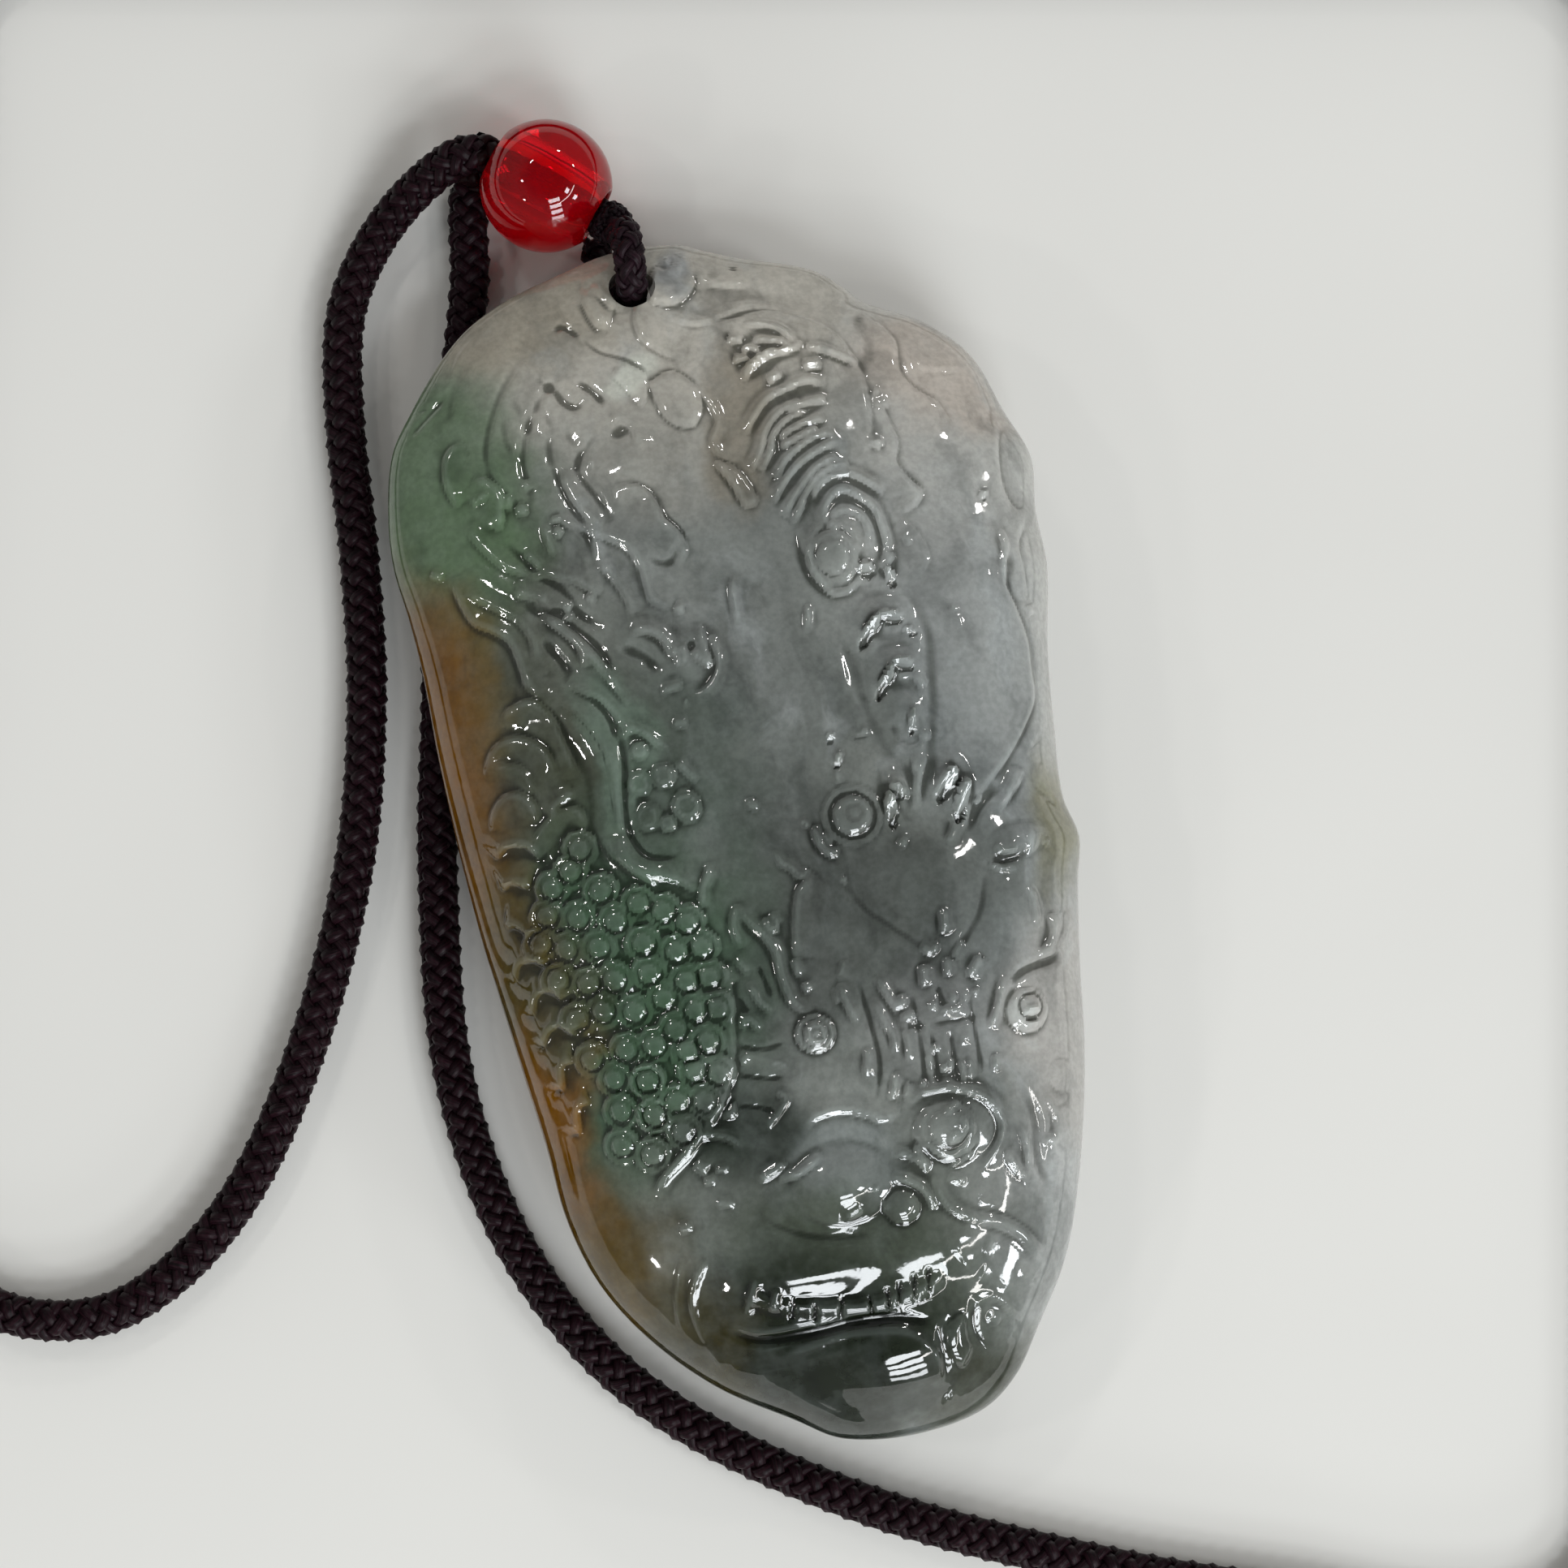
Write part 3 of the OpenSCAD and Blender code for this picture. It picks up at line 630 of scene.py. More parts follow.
ridge([(-0.2, 24.0), (0.5, 22.8), (0.8, 21.6), (0.3, 20.6), (0.5, 19.9), (1.3, 19.2)], 0.30, 0.22)
form([(0.1, 19.5), (1.0, 19.2), (1.7, 18.2), (2.1, 16.8), (1.3, 16.6), (0.8, 18.0)], 0.22, 0.3)
ridge([(0.1, 19.5), (0.8, 18.2), (1.3, 17.0)], 0.20, 0.16)
print(f"hole end carved, the relief reaches {relief.max():.2f} mm")

# %% Hole end, right: curl, feathers and ribs
ridge([(0.2, 30.4), (0.8, 31.1), (1.1, 30.4), (1.3, 29.8), (1.0, 29.2)], 0.40, 0.26)
ridge([(-0.8, 31.4), (-0.2, 30.8), (-0.6, 30.0)], 0.35, 0.24)
form([(-1.7, 29.7), (-1.0, 30.9), (0.4, 31.5), (1.2, 30.4), (0.8, 29.1), (-0.4, 28.3), (-1.6, 28.6)],
     0.34, 0.45)
form([(-5.1, 31.3), (-3.4, 31.4), (-3.3, 29.8), (-4.0, 28.0), (-4.8, 27.9), (-5.3, 29.2)], 0.22, 0.5)
ridge([(-0.9, 31.1), (-0.3, 30.7), (0.2, 31.4)], 0.35, -0.30)
lip([(1.1, 30.6), (1.3, 29.5), (2.1, 29.2), (3.7, 28.9)], 0.22, reach=1.2)
ridge([(-1.7, 28.6), (-0.8, 27.8), (0.7, 27.2), (2.3, 27.5), (3.8, 27.7), (5.5, 27.3)], 0.30, 0.20)
dome(3.2, 30.1, 0.35, 0.25, -0.25)
lip([(8.4, 18.4), (8.9, 20.8), (8.8, 23.2), (7.8, 25.4), (6.3, 26.6), (4.2, 27.3), (2.4, 27.1), (1.2, 27.3),
     (0.2, 28.2)], 0.24, reach=2.4, wall=0.5)
FEATHERS = [
    [(3.2, 26.7), (4.6, 26.2), (5.3, 25.6), (5.6, 25.1)],
    [(2.1, 26.0), (2.9, 25.7)],
    [(2.7, 25.2), (3.2, 25.2), (3.7, 24.9)],
    [(3.4, 25.7), (4.4, 25.4), (5.0, 25.2), (5.3, 24.9)],
    [(2.2, 24.8), (3.1, 24.7)],
    [(2.5, 23.6), (3.3, 24.2), (4.4, 24.6), (5.6, 24.8), (6.0, 25.2)],
    [(2.6, 23.9), (3.4, 24.5), (4.6, 24.9)],
    [(6.2, 24.8), (7.2, 24.3), (8.8, 23.4)],
    [(3.8, 23.2), (4.6, 23.5)],
    [(5.8, 23.7), (6.8, 23.6)],
]
for feather in FEATHERS:
    ridge(feather, 0.26, 0.46)
RIBS = [
    [(2.2, 20.6), (2.7, 21.3), (3.6, 22.2), (4.8, 22.6), (5.8, 22.8), (6.8, 22.5)],
    [(2.1, 18.5), (2.8, 19.5), (3.3, 20.6), (4.2, 21.4), (5.4, 21.8)],
    [(2.6, 18.4), (3.3, 19.3), (3.7, 20.3), (4.5, 20.9), (5.7, 21.2)],
    [(4.5, 21.3), (5.6, 21.6), (6.7, 21.6)],
    [(3.8, 19.4), (4.9, 19.8), (6.0, 20.1)],
    [(3.8, 19.9), (4.6, 20.3), (5.5, 20.5), (6.4, 20.5)],
    [(3.3, 17.8), (3.9, 18.6), (4.8, 19.2), (5.8, 19.6), (6.7, 19.6)],
    [(3.0, 16.6), (3.6, 17.4), (4.5, 18.2), (5.5, 18.7), (6.4, 19.0), (7.0, 19.1)],
    [(3.4, 15.7), (4.0, 16.6), (4.8, 17.4), (5.6, 18.0), (6.7, 18.3)],
    [(3.8, 15.3), (4.3, 16.0), (4.7, 16.7), (5.4, 17.4), (6.3, 17.8), (7.2, 17.8)],
    [(5.0, 16.4), (5.5, 17.0), (6.2, 17.3), (7.1, 17.3), (7.9, 16.8), (8.7, 16.1)],
]
for rib in RIBS:
    lip(rib, 0.42, reach=0.75, wall=0.30)
ridge([(8.4, 19.1), (9.2, 18.6)], 0.30, 0.20)
dome(9.5, 21.8, 0.18, 0.18, 0.16, power=1)
ridge([(9.6, 21.4), (9.9, 20.8)], 0.20, 0.14)
lip([(11.9, 23.6), (12.0, 22.7), (13.2, 22.4), (14.4, 22.3)], 0.16, reach=1.2)
ridge([(9.0, 26.4), (9.6, 24.8), (9.4, 22.8)], 0.80, -0.16)
ridge([(1.0, 28.9), (2.6, 28.6), (4.6, 28.2), (6.8, 27.4)], 0.70, -0.12)
print(f"{len(FEATHERS)} feathers and {len(RIBS)} ribs")

# %% [markdown]
# ### Mane, claw and leg
#
# On the left the mane flows down in long strands, each cut down on one side so that it lies over the next.
# The bent foreleg is a smooth ribbon with a drop of bubbles beside it, and a small claw lies above the
# drop.

# %% Mane, claw and leg
lip([(-14.9, 15.6), (-14.3, 13.6), (-13.9, 12.9), (-13.0, 12.3), (-12.3, 11.6), (-12.0, 10.4),
     (-11.8, 9.2), (-11.2, 8.4)], 0.48, reach=2.2, wall=0.45)
STRANDS = [
    [(-14.3, 14.6), (-13.2, 13.9), (-12.3, 13.2), (-11.6, 12.6), (-11.1, 11.4), (-11.2, 10.2)],
    [(-13.6, 18.2), (-12.8, 16.8), (-11.8, 15.6), (-10.6, 15.0)],
    [(-10.7, 15.0), (-9.3, 14.6), (-8.4, 14.3), (-7.6, 13.7), (-7.0, 13.4)],
    [(-11.6, 14.1), (-10.7, 13.8), (-9.9, 13.4)],
    [(-10.8, 13.4), (-9.7, 12.0), (-8.6, 10.7), (-7.9, 9.6), (-7.4, 8.6), (-6.7, 7.2)],
    [(-10.2, 12.6), (-8.9, 11.0), (-8.6, 9.6)],
    [(-9.8, 8.9), (-8.4, 7.9), (-7.4, 6.6), (-7.0, 5.6)],
    [(-8.7, 17.7), (-7.5, 17.0), (-6.0, 16.1), (-5.2, 15.4), (-4.8, 14.4), (-4.7, 13.4), (-4.5, 12.5),
     (-3.5, 11.9)],
    [(-6.9, 15.0), (-6.0, 13.4), (-5.6, 12.0)],
]
for strand in STRANDS:
    lip(strand, 0.30, reach=1.1)
ridge([(-9.9, 13.0), (-8.6, 11.6), (-7.6, 10.2), (-7.2, 8.8)], 0.55, -0.34)
ridge([(-10.6, 11.5), (-9.9, 10.4), (-9.3, 9.3)], 0.50, -0.24)
ridge([(-11.2, 13.4), (-10.0, 12.9), (-8.6, 12.6), (-7.2, 11.6)], 0.50, -0.24)
ridge([(-6.6, 10.4), (-5.4, 9.6), (-4.8, 8.6)], 0.60, -0.24)
for stroke in [
    [(-15.9, 16.1), (-15.2, 15.7)], [(-10.7, 16.3), (-10.0, 15.3)], [(-7.9, 13.3), (-7.4, 13.1)],
    [(-9.2, 13.1), (-8.8, 12.8)], [(-9.3, 12.6), (-8.7, 12.3)], [(-9.4, 17.6), (-9.3, 16.6), (-9.1, 15.9)],
    [(-4.9, 7.6), (-3.7, 7.8)], [(-4.6, 5.8), (-3.8, 5.7)], [(-3.4, 11.9), (-2.9, 11.7)],
    [(-4.8, 3.8), (-3.9, 2.6)], [(-7.3, 5.5), (-6.8, 5.9), (-6.2, 5.6), (-5.4, 4.8), (-4.9, 4.6)],
]:
    ridge(stroke, 0.27, 0.27)
ridge([(-5.9, 11.1), (-5.0, 11.0), (-4.4, 10.6), (-4.1, 10.0), (-3.9, 9.3)], 0.36, 0.40)
ridge([(-3.8, 9.9), (-3.7, 8.8)], 0.18, 0.26)
ridge([(-3.4, 9.9), (-3.4, 8.8)], 0.18, 0.26)
ridge([(-3.0, 9.5), (-2.6, 9.0), (-2.0, 8.4)], 0.24, 0.30)
ridge([(-2.0, 8.4), (-2.2, 9.5), (-2.2, 10.8)], 0.20, 0.26)
ridge([(-1.8, 10.2), (-1.6, 9.0), (-1.8, 8.1), (-2.4, 7.4), (-3.3, 7.0)], 0.30, 0.30)
dome(-3.7, 6.85, 0.16, 0.16, 0.2, power=1)
dome(-2.9, 9.7, 0.35, 0.5, -0.25)
ridge([(-12.4, 8.6), (-10.6, 8.4), (-9.2, 6.8), (-8.4, 4.8), (-8.3, 2.4), (-8.5, 0.4), (-7.6, -1.4),
       (-5.6, -2.2)], 1.35, 0.42, taper=0.12)
groove([(-10.9, 8.4), (-9.6, 7.2), (-8.7, 5.6), (-8.4, 4.0), (-8.5, 2.0), (-8.6, 0.4)], 0.30, 0.16)
groove([(-8.6, 8.2), (-7.9, 7.0), (-7.7, 5.5)], 0.30, 0.18)
groove([(-7.5, 5.6), (-7.5, 4.2), (-7.8, 2.4), (-7.9, 0.6), (-7.2, -0.8), (-5.6, -1.2)], 0.34, 0.34)
lip([(-9.9, 4.0), (-10.3, 5.6), (-10.7, 7.2), (-11.7, 8.4), (-13.1, 8.1), (-13.6, 7.4)], 0.36, reach=1.8)
lip([(-11.0, 4.2), (-11.4, 5.6), (-12.4, 6.5), (-13.5, 6.6), (-14.3, 6.1), (-15.0, 4.8)], 0.34, reach=1.5)
lip([(-12.2, 3.6), (-12.8, 4.9), (-13.8, 5.3), (-14.4, 5.3)], 0.22, reach=1.0)
lip([(-12.4, 2.0), (-12.5, 3.0), (-13.3, 3.7), (-14.1, 3.6), (-14.8, 2.9), (-15.1, 2.0)], 0.36, reach=1.5)
ridge([(-11.8, 2.1), (-11.3, 2.7), (-10.3, 3.2)], 0.35, 0.34)
lip([(-10.0, 1.0), (-10.2, 2.2), (-11.2, 2.4), (-12.2, 1.8), (-13.0, 1.0)], 0.26, reach=1.2)
BUBBLES = [(-6.9, 3.0, 0.72), (-5.6, 3.2, 0.72), (-6.8, 1.2, 0.8), (-6.6, 4.7, 0.5), (-5.8, 0.7, 0.5)]
for x, y, radius in BUBBLES:
    dome(x, y, radius, radius, 0.24, power=0.7)
    ring(x, y, radius * 0.55, 0.14, 0.07)
dome(-4.7, 1.4, 0.85, 0.95, 0.30, power=0.7)
ring(-4.7, 1.4, 0.52, 0.16, 0.12)
dome(-1.3, 0.9, 0.45, 0.32, 0.26, turn=-35, power=1)
print(f"{len(STRANDS)} strands of the mane, the relief reaches {relief.max():.2f} mm")

# %% [markdown]
# ### Shell, spine and wings
#
# The tail springs from a shell with a round disc in it. Below it the spine is a row of plates that overlap
# downwards, between two smooth wings. Small facets are set into the plates, the shell, the leaves of the
# crest and a few places beside them, where the real stone shines most brightly.

# %% Shell, spine and wings
dome(5.3, 13.0, 1.45, 1.6, 0.55, power=0.8)
ring(5.3, 13.0, 0.95, 0.18, -0.12)
SPINE = [
    ([(3.9, 15.0), (4.0, 13.6), (4.2, 12.5), (4.9, 11.3), (5.8, 11.2), (6.8, 11.8)], 0.22, 0.30),
    ([(5.4, 14.9), (5.4, 15.6), (6.0, 16.4), (6.6, 16.6), (7.4, 16.1), (8.0, 15.4), (8.2, 14.6), (8.3, 13.4),
      (8.0, 12.3)], 0.26, 0.42),
    ([(5.6, 15.2), (6.4, 15.5), (7.2, 15.1), (7.5, 14.3), (7.3, 13.3)], 0.25, 0.22),
    ([(6.2, 14.7), (6.7, 14.0), (6.6, 13.0)], 0.20, 0.14),
    ([(4.1, 13.4), (4.5, 14.4), (5.2, 14.9)], 0.22, 0.18),
    ([(5.4, 14.9), (5.9, 14.4)], 0.25, 0.26),
    ([(7.9, 11.9), (8.6, 12.8)], 0.28, 0.34),
    ([(0.1, 13.2), (-0.2, 12.2), (-0.2, 10.2)], 0.28, 0.28),
    ([(3.6, 10.9), (3.4, 10.2), (3.2, 9.4)], 0.22, 0.28),
    ([(9.3, 13.8), (9.6, 13.1)], 0.22, 0.22),
    ([(11.0, 9.6), (11.1, 9.0)], 0.18, 0.16),
    ([(14.5, 13.1), (14.5, 12.0), (14.2, 11.3), (14.0, 10.2)], 0.28, 0.30),
    ([(15.2, 8.8), (15.3, 8.3)], 0.25, 0.22),
    ([(8.4, 6.2), (8.8, 5.4)], 0.24, 0.24),
    ([(7.9, 4.5), (7.7, 3.1)], 0.25, 0.30),
    ([(8.1, 2.8), (8.7, 2.85)], 0.18, 0.22),
    ([(3.5, 2.1), (3.7, 2.6), (4.0, 2.7)], 0.26, 0.14),
    ([(3.3, 2.0), (3.4, 1.2)], 0.24, 0.18),
]
ridges(SPINE)
dome(14.0, 15.1, 0.30, 0.30, 0.16, power=1)
lip([(5.6, 7.8), (6.5, 9.1), (7.5, 9.5), (8.5, 9.1)], 0.16, reach=1.8, wall=0.6)
lip([(6.1, 5.2), (6.8, 6.5), (7.7, 7.0), (8.6, 6.5)], 0.16, reach=1.6, wall=0.6)
lip([(6.5, 3.9), (6.8, 2.9), (7.6, 2.5), (8.5, 2.8)], -0.14, reach=1.2, wall=0.4)
ridge([(5.4, 9.2), (5.4, 7.2), (5.6, 5.1), (6.1, 3.1), (6.7, 0.6)], 0.70, -0.16)
ridge([(9.2, 11.0), (9.6, 8.5), (9.4, 6.0), (9.1, 4.1), (8.6, 2.3), (7.7, -0.5)], 0.65, -0.20)
lip([(9.3, 14.9), (10.2, 15.2), (10.8, 15.9), (9.9, 16.8)], 0.18, reach=1.4)
lip([(9.7, 11.2), (10.4, 12.4), (10.0, 13.8), (9.4, 14.6)], 0.18, reach=1.2)
lip([(10.0, 6.4), (10.5, 6.5), (11.3, 7.4), (11.4, 8.3), (11.1, 9.4)], 0.16, reach=1.4, wall=0.5)
lip([(10.0, -1.0), (11.6, 0.2), (12.8, 1.4), (13.8, 2.7), (14.5, 3.9), (14.6, 5.4), (14.7, 7.0), (14.4, 8.8),
     (14.1, 10.1), (14.3, 11.4), (14.7, 12.3), (14.6, 13.5)], 0.30, reach=1.8, wall=0.35)
lip([(15.2, 9.2), (15.3, 10.9), (15.3, 12.2), (15.7, 13.0), (16.4, 13.9)], 0.24, reach=1.2)
lip([(16.5, 14.1), (15.7, 14.0), (15.1, 15.3), (15.2, 17.3), (15.8, 19.5)], 0.26, reach=1.6)
lip([(13.2, 0.6), (14.1, 1.6), (15.1, 2.9), (15.3, 5.0), (15.6, 7.4)], 0.18, reach=0.8)
lip([(10.2, 15.0), (10.6, 15.6), (10.3, 16.5), (9.7, 17.7), (10.0, 18.9), (9.7, 20.3), (9.4, 21.8)],
    0.22, reach=1.8)
lip([(13.0, 19.1), (12.6, 20.5), (11.5, 21.6), (10.9, 22.7), (11.0, 24.4), (10.4, 25.5), (9.8, 26.3)],
    0.24, reach=2.0)
ridge([(13.0, 9.8), (13.4, 12.0), (13.0, 14.0)], 1.2, 0.14)
ridge([(2.2, 14.6), (2.6, 12.0), (2.0, 9.0), (2.4, 6.0)], 0.8, -0.12)
ridge([(4.2, 9.8), (4.4, 7.0), (4.2, 4.6)], 0.7, 0.12)
FACETS = [
    # x, y, half across, half along, turn in degrees
    (6.5, 8.8, 0.3, 0.94, -37),
    (7.7, 9.4, 0.36, 0.74, 76),
    (8.7, 8.5, 0.2, 0.41, 56),
    (6.8, 6.0, 0.27, 0.95, -32),
    (7.9, 6.8, 0.36, 0.62, 69),
    (7.8, 3.7, 0.14, 0.63, -11),
    (5.1, 3.5, 0.22, 0.47, -74),
    (3.4, 3.6, 0.2, 0.33, -20),
    (3.6, 2.4, 0.18, 0.42, -29),
    (8.9, 0.1, 0.42, 0.98, -34),
    (9.5, -0.9, 0.34, 1.1, -19),
    (6.3, 0.2, 0.36, 0.52, 30),
    (5.8, -0.7, 0.34, 0.92, -2),
    (7.0, 12.1, 0.4, 0.48, 48),
    (8.2, 11.5, 0.26, 0.55, 8),
    (14.0, 15.1, 0.22, 0.25, 0),
    (9.0, 18.8, 0.35, 0.18, -15),
]
for cut in FACETS:
    facet(*cut)
print(f"spine and shell carved, the relief reaches {relief.max():.2f} mm")

# %% [markdown]
# ### Scales
#
# The body beside the head is covered with small round scales. Each has its own place, as the carver set it,
# and all are the same little cap with a thin ring cut into it. Where two caps meet the higher one counts
# again, which leaves a crisp valley between them.

# %% Scales and the frill beside them
SCALES = [
    (-10.6, 0.2), (-12.4, -1.6), (-9.9, -2.2), (-11.3, -3.4), (-9.4, -3.9), (-8.1, -3.2), (-6.9, -3.8),
    (-5.8, -4.6), (-12.2, -4.9), (-13.5, -4.4), (-10.5, -5.1), (-8.2, -5.3), (-6.6, -6.0), (-5.3, -6.0),
    (-11.4, -6.9), (-10.0, -6.9), (-8.2, -6.9), (-6.4, -7.6), (-10.9, -8.4), (-9.3, -8.7), (-7.7, -8.3),
    (-6.2, -9.2), (-12.3, -8.6), (-10.1, -10.6), (-8.6, -10.6), (-7.4, -10.0), (-5.9, -10.9), (-12.0, -10.8),
    (-9.3, -12.4), (-6.8, -12.3), (-8.0, -13.7), (-5.7, -12.6), (-9.3, -14.2), (-11.0, -13.7), (-11.0, -12.0),
    (-11.3, -15.5), (-9.8, -16.2), (-6.6, -13.9), (-8.0, -15.3), (-12.9, -3.0), (-11.3, -0.9), (-12.9, -6.4),
    (-5.2, -7.6), (-5.1, -9.3), (-7.0, -11.2),
]
SCALE_R, SCALE_H, SCALE_TILT, SCALE_POWER = 1.0, 0.36, 0.20, 0.45
scales = np.zeros_like(relief)
for x, y in SCALES:
    q = np.minimum(1, np.hypot(chart_x - x, chart_y - y) / SCALE_R)
    top = SCALE_H + SCALE_TILT * (chart_y - y) / SCALE_R
    scales = np.maximum(scales, top * (1 - q * q) ** SCALE_POWER)
relief += scales
for x, y in SCALES:
    ring(x, y, 0.62, 0.20, -0.17)
for x, y in [(-9.3, -12.4), (-9.3, -14.2)]:
    ring(x, y, 0.80, 0.16, 0.16)
FRILL = [
    [(-15.3, -3.1), (-14.6, -3.3), (-14.1, -4.0)],
    [(-15.3, -6.2), (-14.8, -5.3), (-14.0, -5.2), (-13.5, -5.7)],
    [(-14.6, -8.1), (-14.2, -7.1), (-13.4, -6.9), (-13.0, -7.6)],
    [(-14.4, -9.8), (-14.0, -9.1), (-13.3, -8.8), (-12.6, -9.4)],
    [(-15.0, 0.4), (-14.4, 0.9), (-13.4, 0.8), (-12.8, 0.0)],
    [(-15.1, -1.2), (-14.4, -1.0), (-13.6, -1.4)],
    [(-13.8, -12.2), (-13.5, -10.9), (-12.9, -10.8)],
    [(-13.4, -14.6), (-13.1, -13.2), (-12.5, -13.0)],
]
for tip in FRILL:
    lip(tip, 0.50, reach=1.5, wall=0.35, taper=0.2)
    ridge([(x + 0.45, y - 0.55) for x, y in tip], 0.5, -0.08)
lip([(-9.3, 0.5), (-8.8, -0.7), (-7.6, -1.7), (-6.0, -2.4), (-4.9, -3.2)], 0.34, reach=1.5)
ridge([(-8.4, 0.4), (-8.4, -0.6), (-8.0, -1.4), (-7.3, -2.1), (-6.9, -2.4)], 0.40, 0.36)
ridge([(-4.2, -1.7), (-4.3, -2.3), (-4.7, -3.0), (-4.9, -4.0)], 0.28, 0.36)
lip([(-7.2, -16.0), (-6.0, -14.6), (-5.2, -13.2), (-4.8, -12.2), (-4.5, -10.6), (-4.2, -8.6), (-4.4, -7.0)],
    0.34, reach=1.0)
print(f"{len(SCALES)} scales and {len(FRILL)} tips of the frill")

# %% [markdown]
# ### Whiskers, brow and panel
#
# The head looks out of the lower half. Its brow is a heart-shaped plate, with an eye on each side of it, a
# crest of leaves above and a panel of small bars below. A long whisker ends in a pearl.

# %% Whiskers, brow and panel
dome(3.75, -0.6, 1.25, 1.25, 0.60, power=0.7)
ring(3.75, -0.6, 1.45, 0.22, 0.14)
ring(3.75, -0.6, 1.10, 0.18, -0.14)
ring(3.85, -0.5, 0.40, 0.16, -0.10)
dome(-0.35, -11.5, 1.05, 1.0, 0.70, power=0.6)
ring(-0.35, -11.5, 0.68, 0.22, -0.26)
ring(-0.30, -11.5, 0.24, 0.2, -0.20)
dome(10.8, -12.4, 1.15, 1.2, 0.55, power=0.8)
ring(11.0, -12.2, 0.64, 0.22, -0.22)
facet(10.9, -12.6, 0.45, 0.4)
dome(6.5, -4.9, 3.9, 3.6, 0.26, power=1)
ridge([(2.6, -3.9), (3.4, -5.5), (4.4, -6.5), (5.4, -7.5), (6.3, -8.4)], 0.40, -0.10)
ridge([(10.0, -5.0), (9.5, -6.6), (8.4, -8.0), (7.3, -9.0)], 0.40, -0.12)
lip([(1.2, -3.2), (0.3, -3.8), (-0.1, -4.6), (-0.4, -5.8), (-0.7, -7.4)], 0.34, reach=2.2)
WHISKERS = [
    ([(-3.1, -4.1), (-3.5, -5.2), (-3.3, -6.4)], 0.34, 0.34),
    ([(-3.0, -4.2), (-2.6, -5.2), (-2.0, -6.0), (-1.6, -7.0), (-1.5, -8.4), (-1.2, -9.6), (-0.6, -10.2),
      (-0.2, -10.2)], 0.34, 0.44),
    ([(-1.9, -5.1), (-1.6, -5.7), (-1.1, -5.8)], 0.32, 0.32),
    ([(-1.4, -4.9), (-1.2, -5.6)], 0.22, 0.22),
    ([(-3.7, -6.9), (-3.1, -7.8)], 0.28, 0.24),
    ([(-3.3, -8.3), (-2.9, -9.3), (-2.3, -10.0)], 0.24, 0.30),
    ([(-4.3, -7.2), (-4.1, -8.2)], 0.26, 0.26),
    ([(-0.8, -7.4), (-0.6, -8.4)], 0.26, 0.26),
    ([(-0.4, -8.8), (-0.3, -9.3)], 0.26, 0.30),
    ([(-4.0, -10.6), (-3.7, -10.1), (-3.1, -10.8)], 0.24, 0.28),
    ([(-4.4, -12.3), (-3.9, -12.0)], 0.22, 0.24),
    ([(-3.0, -12.5), (-2.1, -12.9)], 0.20, 0.20),
    ([(-2.9, -14.1), (-2.4, -14.6)], 0.22, 0.24),
    ([(-3.8, -16.0), (-2.2, -14.5)], 0.26, 0.26),
    ([(-5.3, -13.4), (-6.0, -14.6)], 0.24, 0.22),
]
ridges(WHISKERS)
for plate in [
    [(-4.4, -11.4), (-3.2, -11.8), (-2.0, -11.7)], [(-4.7, -12.9), (-3.4, -13.3), (-2.3, -13.5)],
    [(-5.0, -14.5), (-3.8, -14.8), (-3.0, -15.3)], [(-3.9, -9.0), (-3.6, -9.9)], [(-2.6, -7.4), (-2.2, -9.2)],
]:
    groove(plate, 0.28, 0.18)
form([(-6.2, -14.9), (-5.1, -14.2), (-5.2, -15.1)], 0.26, 0.3)
